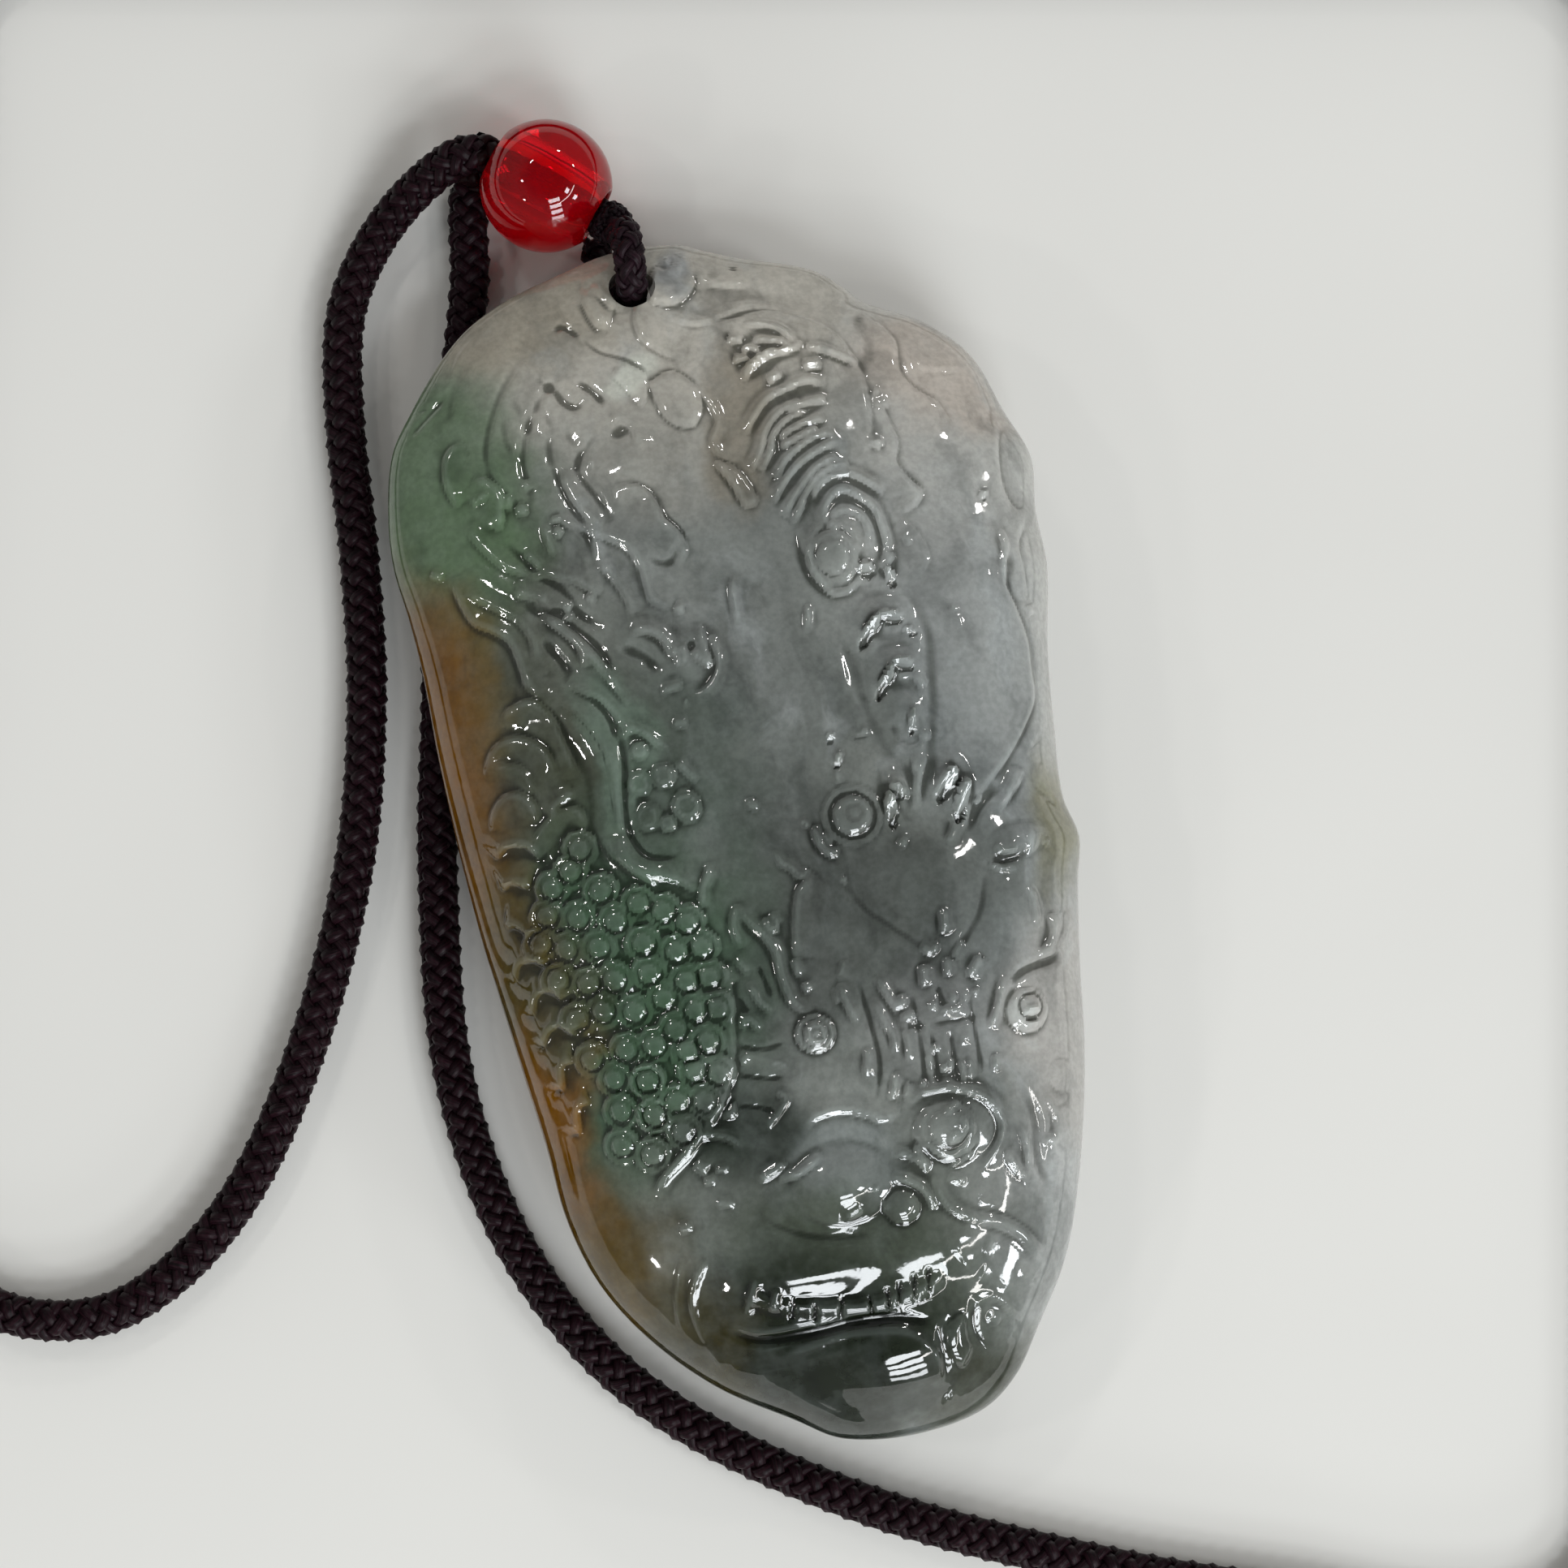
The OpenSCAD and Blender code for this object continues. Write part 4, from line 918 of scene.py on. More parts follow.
BROW = [
    ([(1.6, -0.8), (1.7, -1.6), (2.1, -2.3), (2.7, -2.55)], 0.28, 0.50),
    ([(2.0, -1.3), (2.4, -1.9)], 0.22, 0.24),
    ([(1.0, -0.4), (1.4, -0.8)], 0.22, 0.20),
    ([(-0.7, -1.7), (-0.4, -2.4), (0.1, -2.8), (0.4, -3.5)], 0.26, 0.26),
    ([(0.4, -3.4), (1.0, -3.1)], 0.24, 0.24),
    ([(2.6, -4.0), (2.8, -3.8)], 0.24, 0.24),
    ([(6.0, 0.9), (6.4, 0.6), (6.6, -0.3)], 0.36, 0.34),
    ([(5.9, 0.1), (5.6, -0.7), (5.8, -1.7)], 0.36, 0.22),
    ([(7.2, -0.9), (7.5, 0.4), (8.2, 1.9)], 0.24, 0.26),
    ([(7.6, 2.0), (7.4, 1.0)], 0.20, 0.20),
    ([(8.4, -0.9), (8.5, 0.3), (9.3, 1.2)], 0.34, 0.30),
    ([(10.0, 0.4), (9.7, -0.6), (8.9, -2.0)], 0.34, 0.34),
    ([(9.0, -1.9), (8.7, -2.5), (8.3, -2.9)], 0.28, 0.34),
    ([(5.8, -2.4), (6.2, -2.7)], 0.34, 0.32),
    ([(10.3, -0.9), (10.5, -1.2)], 0.26, 0.26),
    ([(10.8, -3.6), (11.3, -3.9), (12.0, -3.9)], 0.24, 0.38),
    ([(10.3, -4.4), (11.0, -4.8), (11.8, -5.0)], 0.22, 0.26),
    ([(12.0, -1.0), (12.9, 0.3)], 0.24, 0.26),
    ([(11.3, -1.8), (12.6, -0.6), (13.2, 0.2)], 0.24, 0.26),
    ([(12.9, -3.0), (12.5, -4.4)], 0.26, 0.18),
    ([(13.5, -4.0), (13.8, -3.8)], 0.22, 0.24),
    ([(14.0, 0.3), (13.9, -0.6), (14.6, -1.6), (15.0, -2.6)], 0.34, 0.24),
    ([(12.1, -5.8), (12.2, -7.2), (12.1, -8.3)], 0.24, 0.22),
    ([(13.1, -7.6), (13.0, -8.6), (12.6, -9.3), (12.0, -9.7)], 0.30, 0.40),
    ([(14.2, -7.6), (13.8, -8.8), (13.0, -9.5)], 0.28, 0.18),
    ([(7.3, -6.3), (7.3, -7.6)], 0.32, 0.50),
    ([(5.9, -8.0), (6.4, -8.4), (6.9, -8.1)], 0.28, 0.34),
    ([(8.2, -8.1), (7.5, -8.9)], 0.24, 0.24),
    ([(5.8, -9.0), (5.7, -10.1)], 0.36, 0.46),
    ([(7.1, -8.9), (7.0, -9.8)], 0.28, 0.38),
    ([(8.9, -9.1), (8.1, -10.0)], 0.36, 0.46),
]
ridges(BROW)
dome(11.2, -4.35, 1.0, 0.34, -0.30)
ridge([(13.2, -10.0), (11.2, -10.3), (10.3, -10.8)], 0.45, -0.28)
ridge([(11.6, -0.4), (10.4, -1.4), (9.6, -2.6)], 0.5, -0.24)
PANEL = [
    ([(3.3, -9.1), (3.7, -10.2), (4.1, -11.2)], 0.26, 0.32),
    ([(3.0, -10.4), (3.3, -11.6), (3.6, -12.4), (3.4, -13.4)], 0.26, 0.32),
    ([(1.3, -9.1), (1.6, -10.4), (1.9, -11.4)], 0.26, 0.32),
    ([(1.9, -8.0), (1.4, -8.9)], 0.26, 0.18),
    ([(1.0, -9.4), (1.15, -10.2)], 0.18, 0.20),
    ([(2.2, -12.7), (1.8, -14.2)], 0.28, 0.32),
    ([(3.4, -14.2), (2.9, -15.6)], 0.28, 0.32),
    ([(3.9, -14.9), (3.6, -15.7)], 0.22, 0.22),
    ([(4.2, -12.2), (4.3, -12.9), (4.1, -13.9)], 0.22, 0.24),
    ([(9.9, -10.4), (9.3, -11.8), (8.7, -12.9)], 0.30, 0.40),
    ([(4.2, -11.5), (5.1, -11.5)], 0.18, 0.24),
    ([(6.2, -11.6), (7.5, -11.7)], 0.18, 0.24),
    ([(7.0, -13.2), (7.6, -13.2)], 0.16, 0.18),
    ([(6.8, -14.3), (6.8, -15.4)], 0.24, 0.30),
    ([(7.3, -14.2), (7.2, -15.4)], 0.18, 0.26),
    ([(8.65, -14.3), (8.55, -15.1)], 0.24, 0.32),
    ([(6.2, -14.1), (6.3, -14.7)], 0.20, 0.24),
    ([(5.15, -13.7), (5.2, -14.3)], 0.18, 0.20),
    ([(4.5, -15.6), (5.3, -15.5)], 0.18, 0.20),
    ([(7.6, -10.8), (7.7, -11.3)], 0.18, 0.20),
]
ridges(PANEL)
for x, y, across, along in [
    (4.4, -10.7, 0.40, 0.42), (5.9, -11.2, 0.32, 0.28), (7.05, -11.0, 0.24, 0.32), (5.65, -13.4, 0.26, 0.24),
    (5.9, -14.5, 0.24, 0.22), (8.3, -10.9, 0.22, 0.22), (4.7, -15.1, 0.2, 0.2),
]:
    dome(x, y, across, along, 0.26, power=1)
for cut in [
    [(5.0, -10.4), (5.0, -13.2), (4.8, -15.2)], [(6.4, -10.2), (6.5, -11.4)], [(5.6, -12.2), (8.2, -12.2)],
    [(6.6, -12.4), (6.5, -15.4)], [(7.9, -11.0), (7.9, -15.2)], [(5.6, -12.3), (5.5, -15.4)],
    [(4.4, -12.0), (5.4, -12.1)], [(2.4, -9.0), (2.6, -11.4), (2.7, -13.6), (2.2, -15.4)],
]:
    groove(cut, 0.34, 0.20)
print(f"head carved, the relief reaches {relief.max():.2f} mm")

# %% [markdown]
# ### Cheek, lips and teeth
#
# The snout ends in a wide mouth. A band of teeth is cut by thin slanting grooves and shines like a row of
# beads, a dark gap lies under it, and the lower lip is one smooth round that mirrors the window.

# %% Cheek, lips and teeth
dome(-0.5, -19.4, 2.7, 2.2, 0.34, power=1)
dome(2.4, -21.2, 0.95, 0.95, 0.50, power=0.8)
dome(5.3, -17.6, 1.7, 1.4, 0.55, power=0.9)
ring(5.4, -17.6, 1.05, 0.2, -0.12)
dome(12.0, -16.2, 0.7, 0.9, 0.22, power=1)
dome(0.3, -29.8, 3.0, 2.9, 0.22, power=1)
ridge([(-8.2, -25.7), (-6.4, -26.8), (-3.6, -26.9), (-1.0, -26.8), (1.3, -27.0), (2.9, -27.6)], 0.50, -0.42)
ridge([(-7.4, -22.6), (-8.2, -24.2), (-7.8, -26.0)], 1.1, -0.20)
lip([(2.8, -30.8), (2.7, -29.0), (1.4, -27.5), (-1.1, -27.0), (-3.6, -27.4), (-5.9, -27.9)], 0.24, reach=1.7)
ridge([(-1.2, -27.8), (-3.5, -28.2), (-6.0, -28.5), (-8.3, -28.2)], 0.40, 0.10)
ridge([(-6.6, -24.2), (-5.0, -25.1), (-3.5, -25.5), (-0.6, -26.0), (1.9, -25.9), (3.8, -25.3)],
      0.60, 0.26, taper=0.08)
TEETH = [
    [(-4.1, -25.0), (-4.4, -26.0)], [(-3.0, -25.3), (-3.2, -26.3)], [(-1.6, -25.4), (-1.9, -26.4)],
    [(-0.2, -25.6), (-0.2, -26.5)], [(0.8, -25.4), (0.7, -26.3)], [(1.5, -25.1), (1.25, -26.2)],
    [(2.3, -24.9), (2.1, -26.1)], [(3.1, -24.7), (2.9, -25.9)],
]
for cut in TEETH:
    groove(cut, 0.20, 0.26, taper=0.1)
form([(3.3, -28.0), (3.7, -27.6), (4.5, -27.4), (4.5, -28.6), (4.6, -29.4), (3.9, -30.2), (3.3, -29.4)],
     0.18, 0.6, 0.14)
ridge([(5.0, -27.1), (6.1, -26.9), (6.9, -27.7), (6.8, -29.0), (6.0, -29.2)], 0.20, 0.14)
dome(6.0, -28.0, 0.45, 0.45, 0.14, power=1)
MOUTH = [
    ([(-7.2, -15.7), (-8.4, -16.6), (-9.6, -17.6), (-10.1, -18.4)], 0.30, 0.36),
    ([(-7.4, -15.7), (-6.4, -15.8), (-5.6, -16.2), (-5.3, -16.7)], 0.25, 0.30),
    ([(-7.8, -17.0), (-7.2, -17.6)], 0.42, 0.34),
    ([(-7.5, -18.1), (-6.8, -18.1)], 0.22, 0.28),
    ([(-6.8, -17.6), (-6.0, -17.6)], 0.18, 0.22),
    ([(-7.1, -19.3), (-6.1, -19.5)], 0.24, 0.26),
    ([(-9.2, -20.4), (-8.5, -20.2)], 0.26, 0.32),
    ([(-4.7, -18.5), (-3.9, -18.2), (-3.1, -17.8)], 0.30, 0.36),
    ([(-3.6, -18.7), (-2.6, -18.5), (-1.2, -17.8)], 0.26, 0.32),
    ([(-2.2, -16.6), (-1.3, -15.8), (0.2, -15.6), (1.6, -16.1), (2.3, -16.5), (3.3, -16.2)], 0.40, 0.26),
    ([(-0.7, -21.2), (-0.1, -21.1), (0.4, -20.8)], 0.26, 0.26),
    ([(-5.6, -20.7), (-4.3, -21.4), (-2.4, -22.3), (0.6, -22.9)], 0.20, 0.09),
    ([(2.1, -19.6), (3.0, -20.0), (3.7, -20.7), (4.0, -21.7)], 0.28, 0.42),
    ([(1.5, -20.7), (1.45, -21.4)], 0.18, 0.20),
    ([(1.2, -20.2), (1.3, -19.9)], 0.2, 0.22),
    ([(3.3, -16.2), (4.8, -15.5), (6.6, -15.8), (7.8, -16.6), (8.3, -17.8), (8.0, -18.9), (6.7, -20.2)],
     0.34, 0.36),
    ([(4.3, -18.5), (5.2, -19.1), (6.2, -18.9), (6.9, -18.4)], 0.24, 0.30),
    ([(5.2, -19.6), (6.0, -19.4), (6.6, -19.1)], 0.18, 0.18),
    ([(5.3, -16.8), (6.3, -16.4)], 0.28, 0.28),
    ([(6.2, -17.0), (6.3, -18.0)], 0.22, 0.22),
    ([(5.6, -17.8), (5.4, -18.4)], 0.28, 0.30),
    ([(3.6, -18.1), (3.8, -18.9), (4.0, -19.5)], 0.26, 0.32),
    ([(2.4, -18.3), (3.4, -18.8), (4.1, -19.7)], 0.24, 0.28),
    ([(4.2, -20.0), (4.6, -21.4), (5.2, -22.1), (6.0, -22.6)], 0.30, 0.28),
    ([(5.6, -22.4), (7.2, -23.0), (8.2, -23.8), (8.7, -24.6), (9.0, -25.4)], 0.50, 0.24),
    ([(5.0, -20.2), (5.9, -20.6)], 0.24, 0.18),
    ([(8.2, -19.4), (8.7, -20.5), (9.2, -21.3)], 0.28, 0.30),
    ([(9.3, -18.2), (9.4, -19.5), (9.2, -20.8)], 0.22, 0.24),
    ([(10.9, -17.0), (11.3, -18.2), (11.1, -19.2), (10.7, -20.1)], 0.34, 0.26),
    ([(10.5, -19.2), (10.9, -19.6)], 0.26, 0.26),
    ([(-9.1, -21.5), (-9.7, -22.6), (-10.1, -24.0), (-10.2, -25.8)], 0.18, 0.15),
    ([(-7.8, -21.7), (-8.9, -23.0), (-9.4, -24.4), (-9.1, -26.5)], 0.18, 0.18),
    ([(-9.0, -26.6), (-8.4, -28.2)], 0.40, 0.22),
    ([(-5.8, -23.4), (-6.2, -24.3), (-6.8, -25.4)], 0.24, 0.30),
    ([(-4.9, -24.2), (-5.3, -25.4)], 0.24, 0.30),
    ([(-5.2, -30.1), (-4.2, -31.2), (-3.0, -32.1), (-1.2, -32.9)], 0.60, 0.18),
    ([(4.5, -23.6), (5.3, -25.0)], 0.26, 0.10),
    ([(6.2, -25.1), (5.6, -25.8)], 0.22, 0.08),
    ([(7.7, -26.0), (8.6, -26.6)], 0.22, 0.10),
    ([(2.8, -31.6), (2.6, -32.5)], 0.22, 0.22),
    ([(3.1, -31.4), (3.0, -32.4)], 0.18, 0.22),
]
ridges(MOUTH)
ridge([(-5.4, -19.6), (-4.2, -21.0), (-2.6, -21.9), (-0.8, -22.3), (0.8, -22.2)], 0.5, -0.10)
ridge([(3.1, -27.6), (3.0, -29.0), (2.9, -30.8)], 0.4, -0.18)
ridge([(5.2, -26.8), (4.9, -28.4), (5.4, -29.6)], 0.35, -0.14)
ridge([(9.7, -16.0), (10.2, -18.0), (10.0, -20.4), (10.4, -22.6)], 0.6, -0.22)
print(f"{len(TEETH)} cuts between the teeth, the relief reaches {relief.max():.2f} mm")

# %% [markdown]
# ### From chart to stone
#
# The strokes are now given to the stone. Polishing takes more off a fine crest than off a broad round, so
# the relief is split in two: the broad forms are kept almost whole and the fine cuts are lowered, and then
# their edges are drawn a little crisper. Two grid primitives, one for the face and one for the back, take
# the coordinates. The carving is laid along the ground's own normal and fades out at the outline, where
# both grids meet. An attribute goes with the mesh: how much lower a point lies than its surroundings, which
# is where polish never reaches. The finish paints shade into these hollows and a highlight onto the crests.

# %% The stone's mesh
FADE_SHARE = 0.09
# How long the face is across, along its own curve, in millimetres
FACE_RUN = 43
CELLS_IN_MM = (FACE_COLUMNS - 1) / FACE_RUN
BROAD_REACH, CRISP_REACH, HOLLOW_REACH = 1.4, 0.22, 0.4
BROAD_SHARE, FINE_SHARE, CRISP_SHARE = 0.95, 0.60, 0.55
DEEPEST, HIGHEST = -1.0, 1.9


def unit_normals(points):
    normal = np.cross(np.gradient(points, axis=1), np.gradient(points, axis=0))
    return normal / np.maximum(1e-12, np.linalg.norm(normal, axis=-1, keepdims=True))


def blurred(values, reach):
    """The mean of all points within a reach in millimetres, taken twice along each way of the grid."""
    cells = max(1, round(reach * CELLS_IN_MM))
    window = 2 * cells + 1
    for axis in (0, 1, 0, 1):
        before = np.repeat(np.take(values, [0], axis), cells + 1, axis)
        after = np.repeat(np.take(values, [-1], axis), cells, axis)
        total = np.cumsum(np.concatenate([before, values, after], axis), axis)
        count = values.shape[axis]
        above, below = np.take(total, range(window, window + count), axis), np.take(total, range(count), axis)
        values = (above - below) / window
    return values


def grid_piece(name, points):
    """A grid primitive whose points are then set in code."""
    rows, columns = points.shape[:2]
    bpy.ops.mesh.primitive_grid_add(x_subdivisions=columns - 1, y_subdivisions=rows - 1)
    piece = bpy.context.object
    piece.name = name
    piece.data.vertices.foreach_set("co", (points * MM).astype(np.float32).ravel())
    piece.data.update()
    return piece


broad = blurred(relief, BROAD_REACH)
relief = broad * BROAD_SHARE + (relief - broad) * FINE_SHARE
relief = relief + CRISP_SHARE * (relief - blurred(relief, CRISP_REACH))
relief = np.clip(relief, DEEPEST, HIGHEST)
fade = np.clip((1 - outness(face_u, face_v, FACE_FULL)) / FADE_SHARE, 0, 1)
carved = face + (fade * relief)[..., None] * unit_normals(face)
back_u, back_v = ground_grid(BACK_COLUMNS, ROWS, back=True)
stone = grid_piece("carved_jade", carved)
stone_back = grid_piece("jade_back", ground_point(back_u, back_v, back=True))
hollow = fade * (blurred(relief, HOLLOW_REACH) - relief)
for piece, depth in [(stone, hollow), (stone_back, np.zeros(back_u.shape))]:
    attribute = piece.data.attributes.new("hollow", "FLOAT", "POINT")
    attribute.data.foreach_set("value", depth.astype(np.float32).ravel())
print(f"carving from {relief.min():.2f} to {relief.max():.2f} mm, hollows up to {hollow.max():.2f} mm")

# %% [markdown]
# The two grids are joined, and the points that lie on each other along the outline are merged. The hole is
# drilled with a cylinder, through a modifier that is then applied.

# %% Joining the halves and drilling the hole
MERGE_WITHIN = 0.002 * MM
DRILL_SIDES, DRILL_LENGTH, DRILL_HEIGHT = 64, 30, 4
SMOOTH_BELOW = math.radians(60)
join(stone, stone_back)
bpy.ops.object.mode_set(mode="EDIT")
bpy.ops.mesh.select_all(action="SELECT")
bpy.ops.mesh.remove_doubles(threshold=MERGE_WITHIN)
bpy.ops.mesh.dissolve_degenerate(threshold=MERGE_WITHIN)
bpy.ops.mesh.select_all(action="SELECT")
bpy.ops.mesh.normals_make_consistent(inside=False)
bpy.ops.object.mode_set(mode="OBJECT")

HOLE_AT = (-HOLE_SIDE, HALF_L - HOLE_RIM - HOLE_D / 2)
bpy.ops.mesh.primitive_cylinder_add(
    vertices=DRILL_SIDES, radius=HOLE_D / 2 * MM, depth=DRILL_LENGTH * MM,
    location=(HOLE_AT[0] * MM, HOLE_AT[1] * MM, DRILL_HEIGHT * MM),
)
drill = bpy.context.object
activate(stone)
cut = stone.modifiers.new("hole", "BOOLEAN")
cut.operation = "DIFFERENCE"
cut.object = drill
cut.solver = "EXACT"
bpy.ops.object.modifier_apply(modifier="hole")
bpy.data.objects.remove(drill, do_unlink=True)
activate(stone)
bpy.ops.object.shade_smooth_by_angle(angle=SMOOTH_BELOW)
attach(stone, "root")
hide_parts("jade_body")
print(f"stone: {triangles(stone)} triangles")

# %% [markdown]
# ## Finishes
#
# A finish is a small network of nodes. `put` adds one node and sets or links its inputs by name or number,
# and `blend` mixes two colours. Colours are written as they look on a screen, from 0 to 255, and turned
# into the shader's own scale. The patterns are laid in millimetres on the object's own coordinates, so they
# stay where they are on a piece from every side.

# %% Helpers for finishes
def shade(red, green, blue):
    """A colour as a screen shows it, 0 to 255, turned into the shader's linear scale."""
    shares = [value / 255 for value in (red, green, blue)]
    return tuple(v / 12.92 if v < 0.0404 else ((v + 0.055) / 1.055) ** 2.4 for v in shares) + (1,)


def put(tree, kind, inputs=None, **options):
    """Adds a node, sets its options, and sets or links its inputs."""
    node = tree.nodes.new(kind)
    for name, value in options.items():
        setattr(node, name, value)
    for name, value in (inputs or {}).items():
        socket = node.inputs[name]
        if isinstance(value, bpy.types.NodeSocket):
            tree.links.new(value, socket)
        else:
            socket.default_value = value
    return node


def blend(tree, factor, first, second, mode="MIX"):
    """Mixes two colours, 0 for the first and 1 for the second."""
    node = put(tree, "ShaderNodeMix", {0: factor, 6: first, 7: second}, data_type="RGBA", blend_type=mode)
    return node.outputs[2]


def filtered(tree, color, glass_color):
    """A colour as it looks through a coloured glass."""
    return blend(tree, 1.0, color, glass_color, "MULTIPLY")


def reckon(tree, operation, first, second=0.0):
    return put(tree, "ShaderNodeMath", {0: first, 1: second}, operation=operation).outputs[0]


def place_in_mm(tree):
    """The place on the object, in millimetres."""
    place = put(tree, "ShaderNodeTexCoord").outputs["Object"]
    return put(tree, "ShaderNodeVectorMath", {0: place, "Scale": 1 / MM}, operation="SCALE").outputs[0]


def spread(tree, value, low, high, to_low=0.0, to_high=1.0):
    """Stretches a value from one range to another, softly at both ends."""
    node = put(tree, "ShaderNodeMapRange", {0: value, 1: low, 2: high, 3: to_low, 4: to_high})
    node.interpolation_type = "SMOOTHSTEP"
    return node.outputs[0]


def new_finish(name):
    """A new material, its node tree and its shader."""
    material = bpy.data.materials.new(name)
    material.use_nodes = True
    tree = material.node_tree
    return material, tree, tree.nodes["Principled BSDF"]


def dress(piece, material):
    piece.data.materials.clear()
    piece.data.materials.append(material)


def new_group(name, takes, gives):
    """A shader node group with named inputs and outputs."""
    group = bpy.data.node_groups.new(name, "ShaderNodeTree")
    for label, kind, value in takes:
        group.interface.new_socket(label, in_out="INPUT", socket_type=kind).default_value = value
    for label, kind in gives:
        group.interface.new_socket(label, in_out="OUTPUT", socket_type=kind)
    return group, group.nodes.new("NodeGroupInput"), group.nodes.new("NodeGroupOutput")


def use_group(tree, group, inputs):
    return put(tree, "ShaderNodeGroup", inputs, node_tree=group)


print("a middle grey of 128 is", round(shade(128, 128, 128)[0], 3), "in the shader's scale")

# %% [markdown]
# ### Two shared groups
#
# "mottle" is soft cloudiness at a chosen size, in millimetres. The jade uses it for its clouds, wisps,
# smoke, flecks and grain and for the crooked borders of its stains, and the glass and the table use it for
# their own faint unevenness.
#
# "stain" is a soft oval patch at a place. Natural jade is grey, white, green and brown in patches with no
# sharp border, so the colours of this stone are a list of such stains.

# %% Shared groups: mottle and stain
mottle, given, result = new_group(
    "mottle",
    [("Place", "NodeSocketVector", (0, 0, 0)), ("Size", "NodeSocketFloat", 5.0),
     ("Detail", "NodeSocketFloat", 3.0), ("Low", "NodeSocketFloat", 0.35), ("High", "NodeSocketFloat", 0.65)],
    [("Value", "NodeSocketFloat"), ("Wander", "NodeSocketVector")],
)
frequency = reckon(mottle, "DIVIDE", 1.0, given.outputs["Size"])
noise = put(mottle, "ShaderNodeTexNoise", {
    "Vector": given.outputs["Place"], "Scale": frequency, "Detail": given.outputs["Detail"],
    "Roughness": 0.55,
})
value = spread(mottle, noise.outputs[0], given.outputs["Low"], given.outputs["High"])
mottle.links.new(value, result.inputs["Value"])
MIDDLE_OF_NOISE = (0.5, 0.5, 0.5)
wander = put(mottle, "ShaderNodeVectorMath", {0: noise.outputs[1], 1: MIDDLE_OF_NOISE}, operation="SUBTRACT")
mottle.links.new(wander.outputs[0], result.inputs["Wander"])

stain, given, result = new_group(
    "stain",
    [("Place", "NodeSocketVector", (0, 0, 0)), ("Centre", "NodeSocketVector", (0, 0, 0)),
     ("Reach", "NodeSocketVector", (1, 1, 1)), ("Strength", "NodeSocketFloat", 1.0)],
    [("Mask", "NodeSocketFloat")],
)
STAIN_FULL, STAIN_END = 0.45, 1.05
place, centre, reach = (given.outputs[name] for name in ("Place", "Centre", "Reach"))
offset = put(stain, "ShaderNodeVectorMath", {0: place, 1: centre}, operation="SUBTRACT").outputs[0]
scaled = put(stain, "ShaderNodeVectorMath", {0: offset, 1: reach}, operation="DIVIDE").outputs[0]
gap = put(stain, "ShaderNodeVectorMath", {0: scaled}, operation="LENGTH").outputs["Value"]
mask = spread(stain, gap, STAIN_FULL, STAIN_END, 1.0, 0.0)
stain.links.new(reckon(stain, "MULTIPLY", mask, given.outputs["Strength"]), result.inputs["Mask"])
print("groups:", mottle.name, "and", stain.name)

# %% [markdown]
# ### Polished jade
#
# Jade is translucent: light goes some millimetres into it and comes out softened, which is why the
# carving's shadows are so faint and its highlights so sharp. Subsurface scattering gives the first and a
# low roughness the second. The colour is built in layers: clouds of grey with the pale stains, whitish
# wisps, the deep stains, darker smoke, pale flecks and a fine grain, and last painted shade in the carving's
# hollows and a painted highlight on its ridges.

# %% Jade: clouds and stains
PALE_STAINS = [
    # x, y, z, reach in x, y, z, colour, strength
    (0, 12, 8, 10, 13, 14, (123, 127, 124), 0.50),  # grey middle
    (4, 33, 6, 25, 17.5, 16, (192, 188, 178), 0.95),  # warm pale top
    (-10, 31, 6, 9, 6, 9, (148, 141, 124), 0.70),  # browner left of the hole
    (15, 14, 6, 10, 21, 15, (186, 186, 181), 0.90),  # pale right side
    (11, 6, 8, 6, 12, 12, (124, 131, 132), 0.55),  # bluish wing
    (13, 22, 6, 5.5, 5, 8, (196, 184, 172), 0.65),  # pinkish shoulder
    (9, -10, 8, 6, 7, 11, (134, 139, 138), 0.60),  # grey right jowl
    (14, -14, 5, 7, 11, 12, (172, 170, 165), 0.92),  # pale right rim
    (9, -24, 6, 7, 8, 11, (170, 172, 170), 0.85),  # pale right of the snout
]
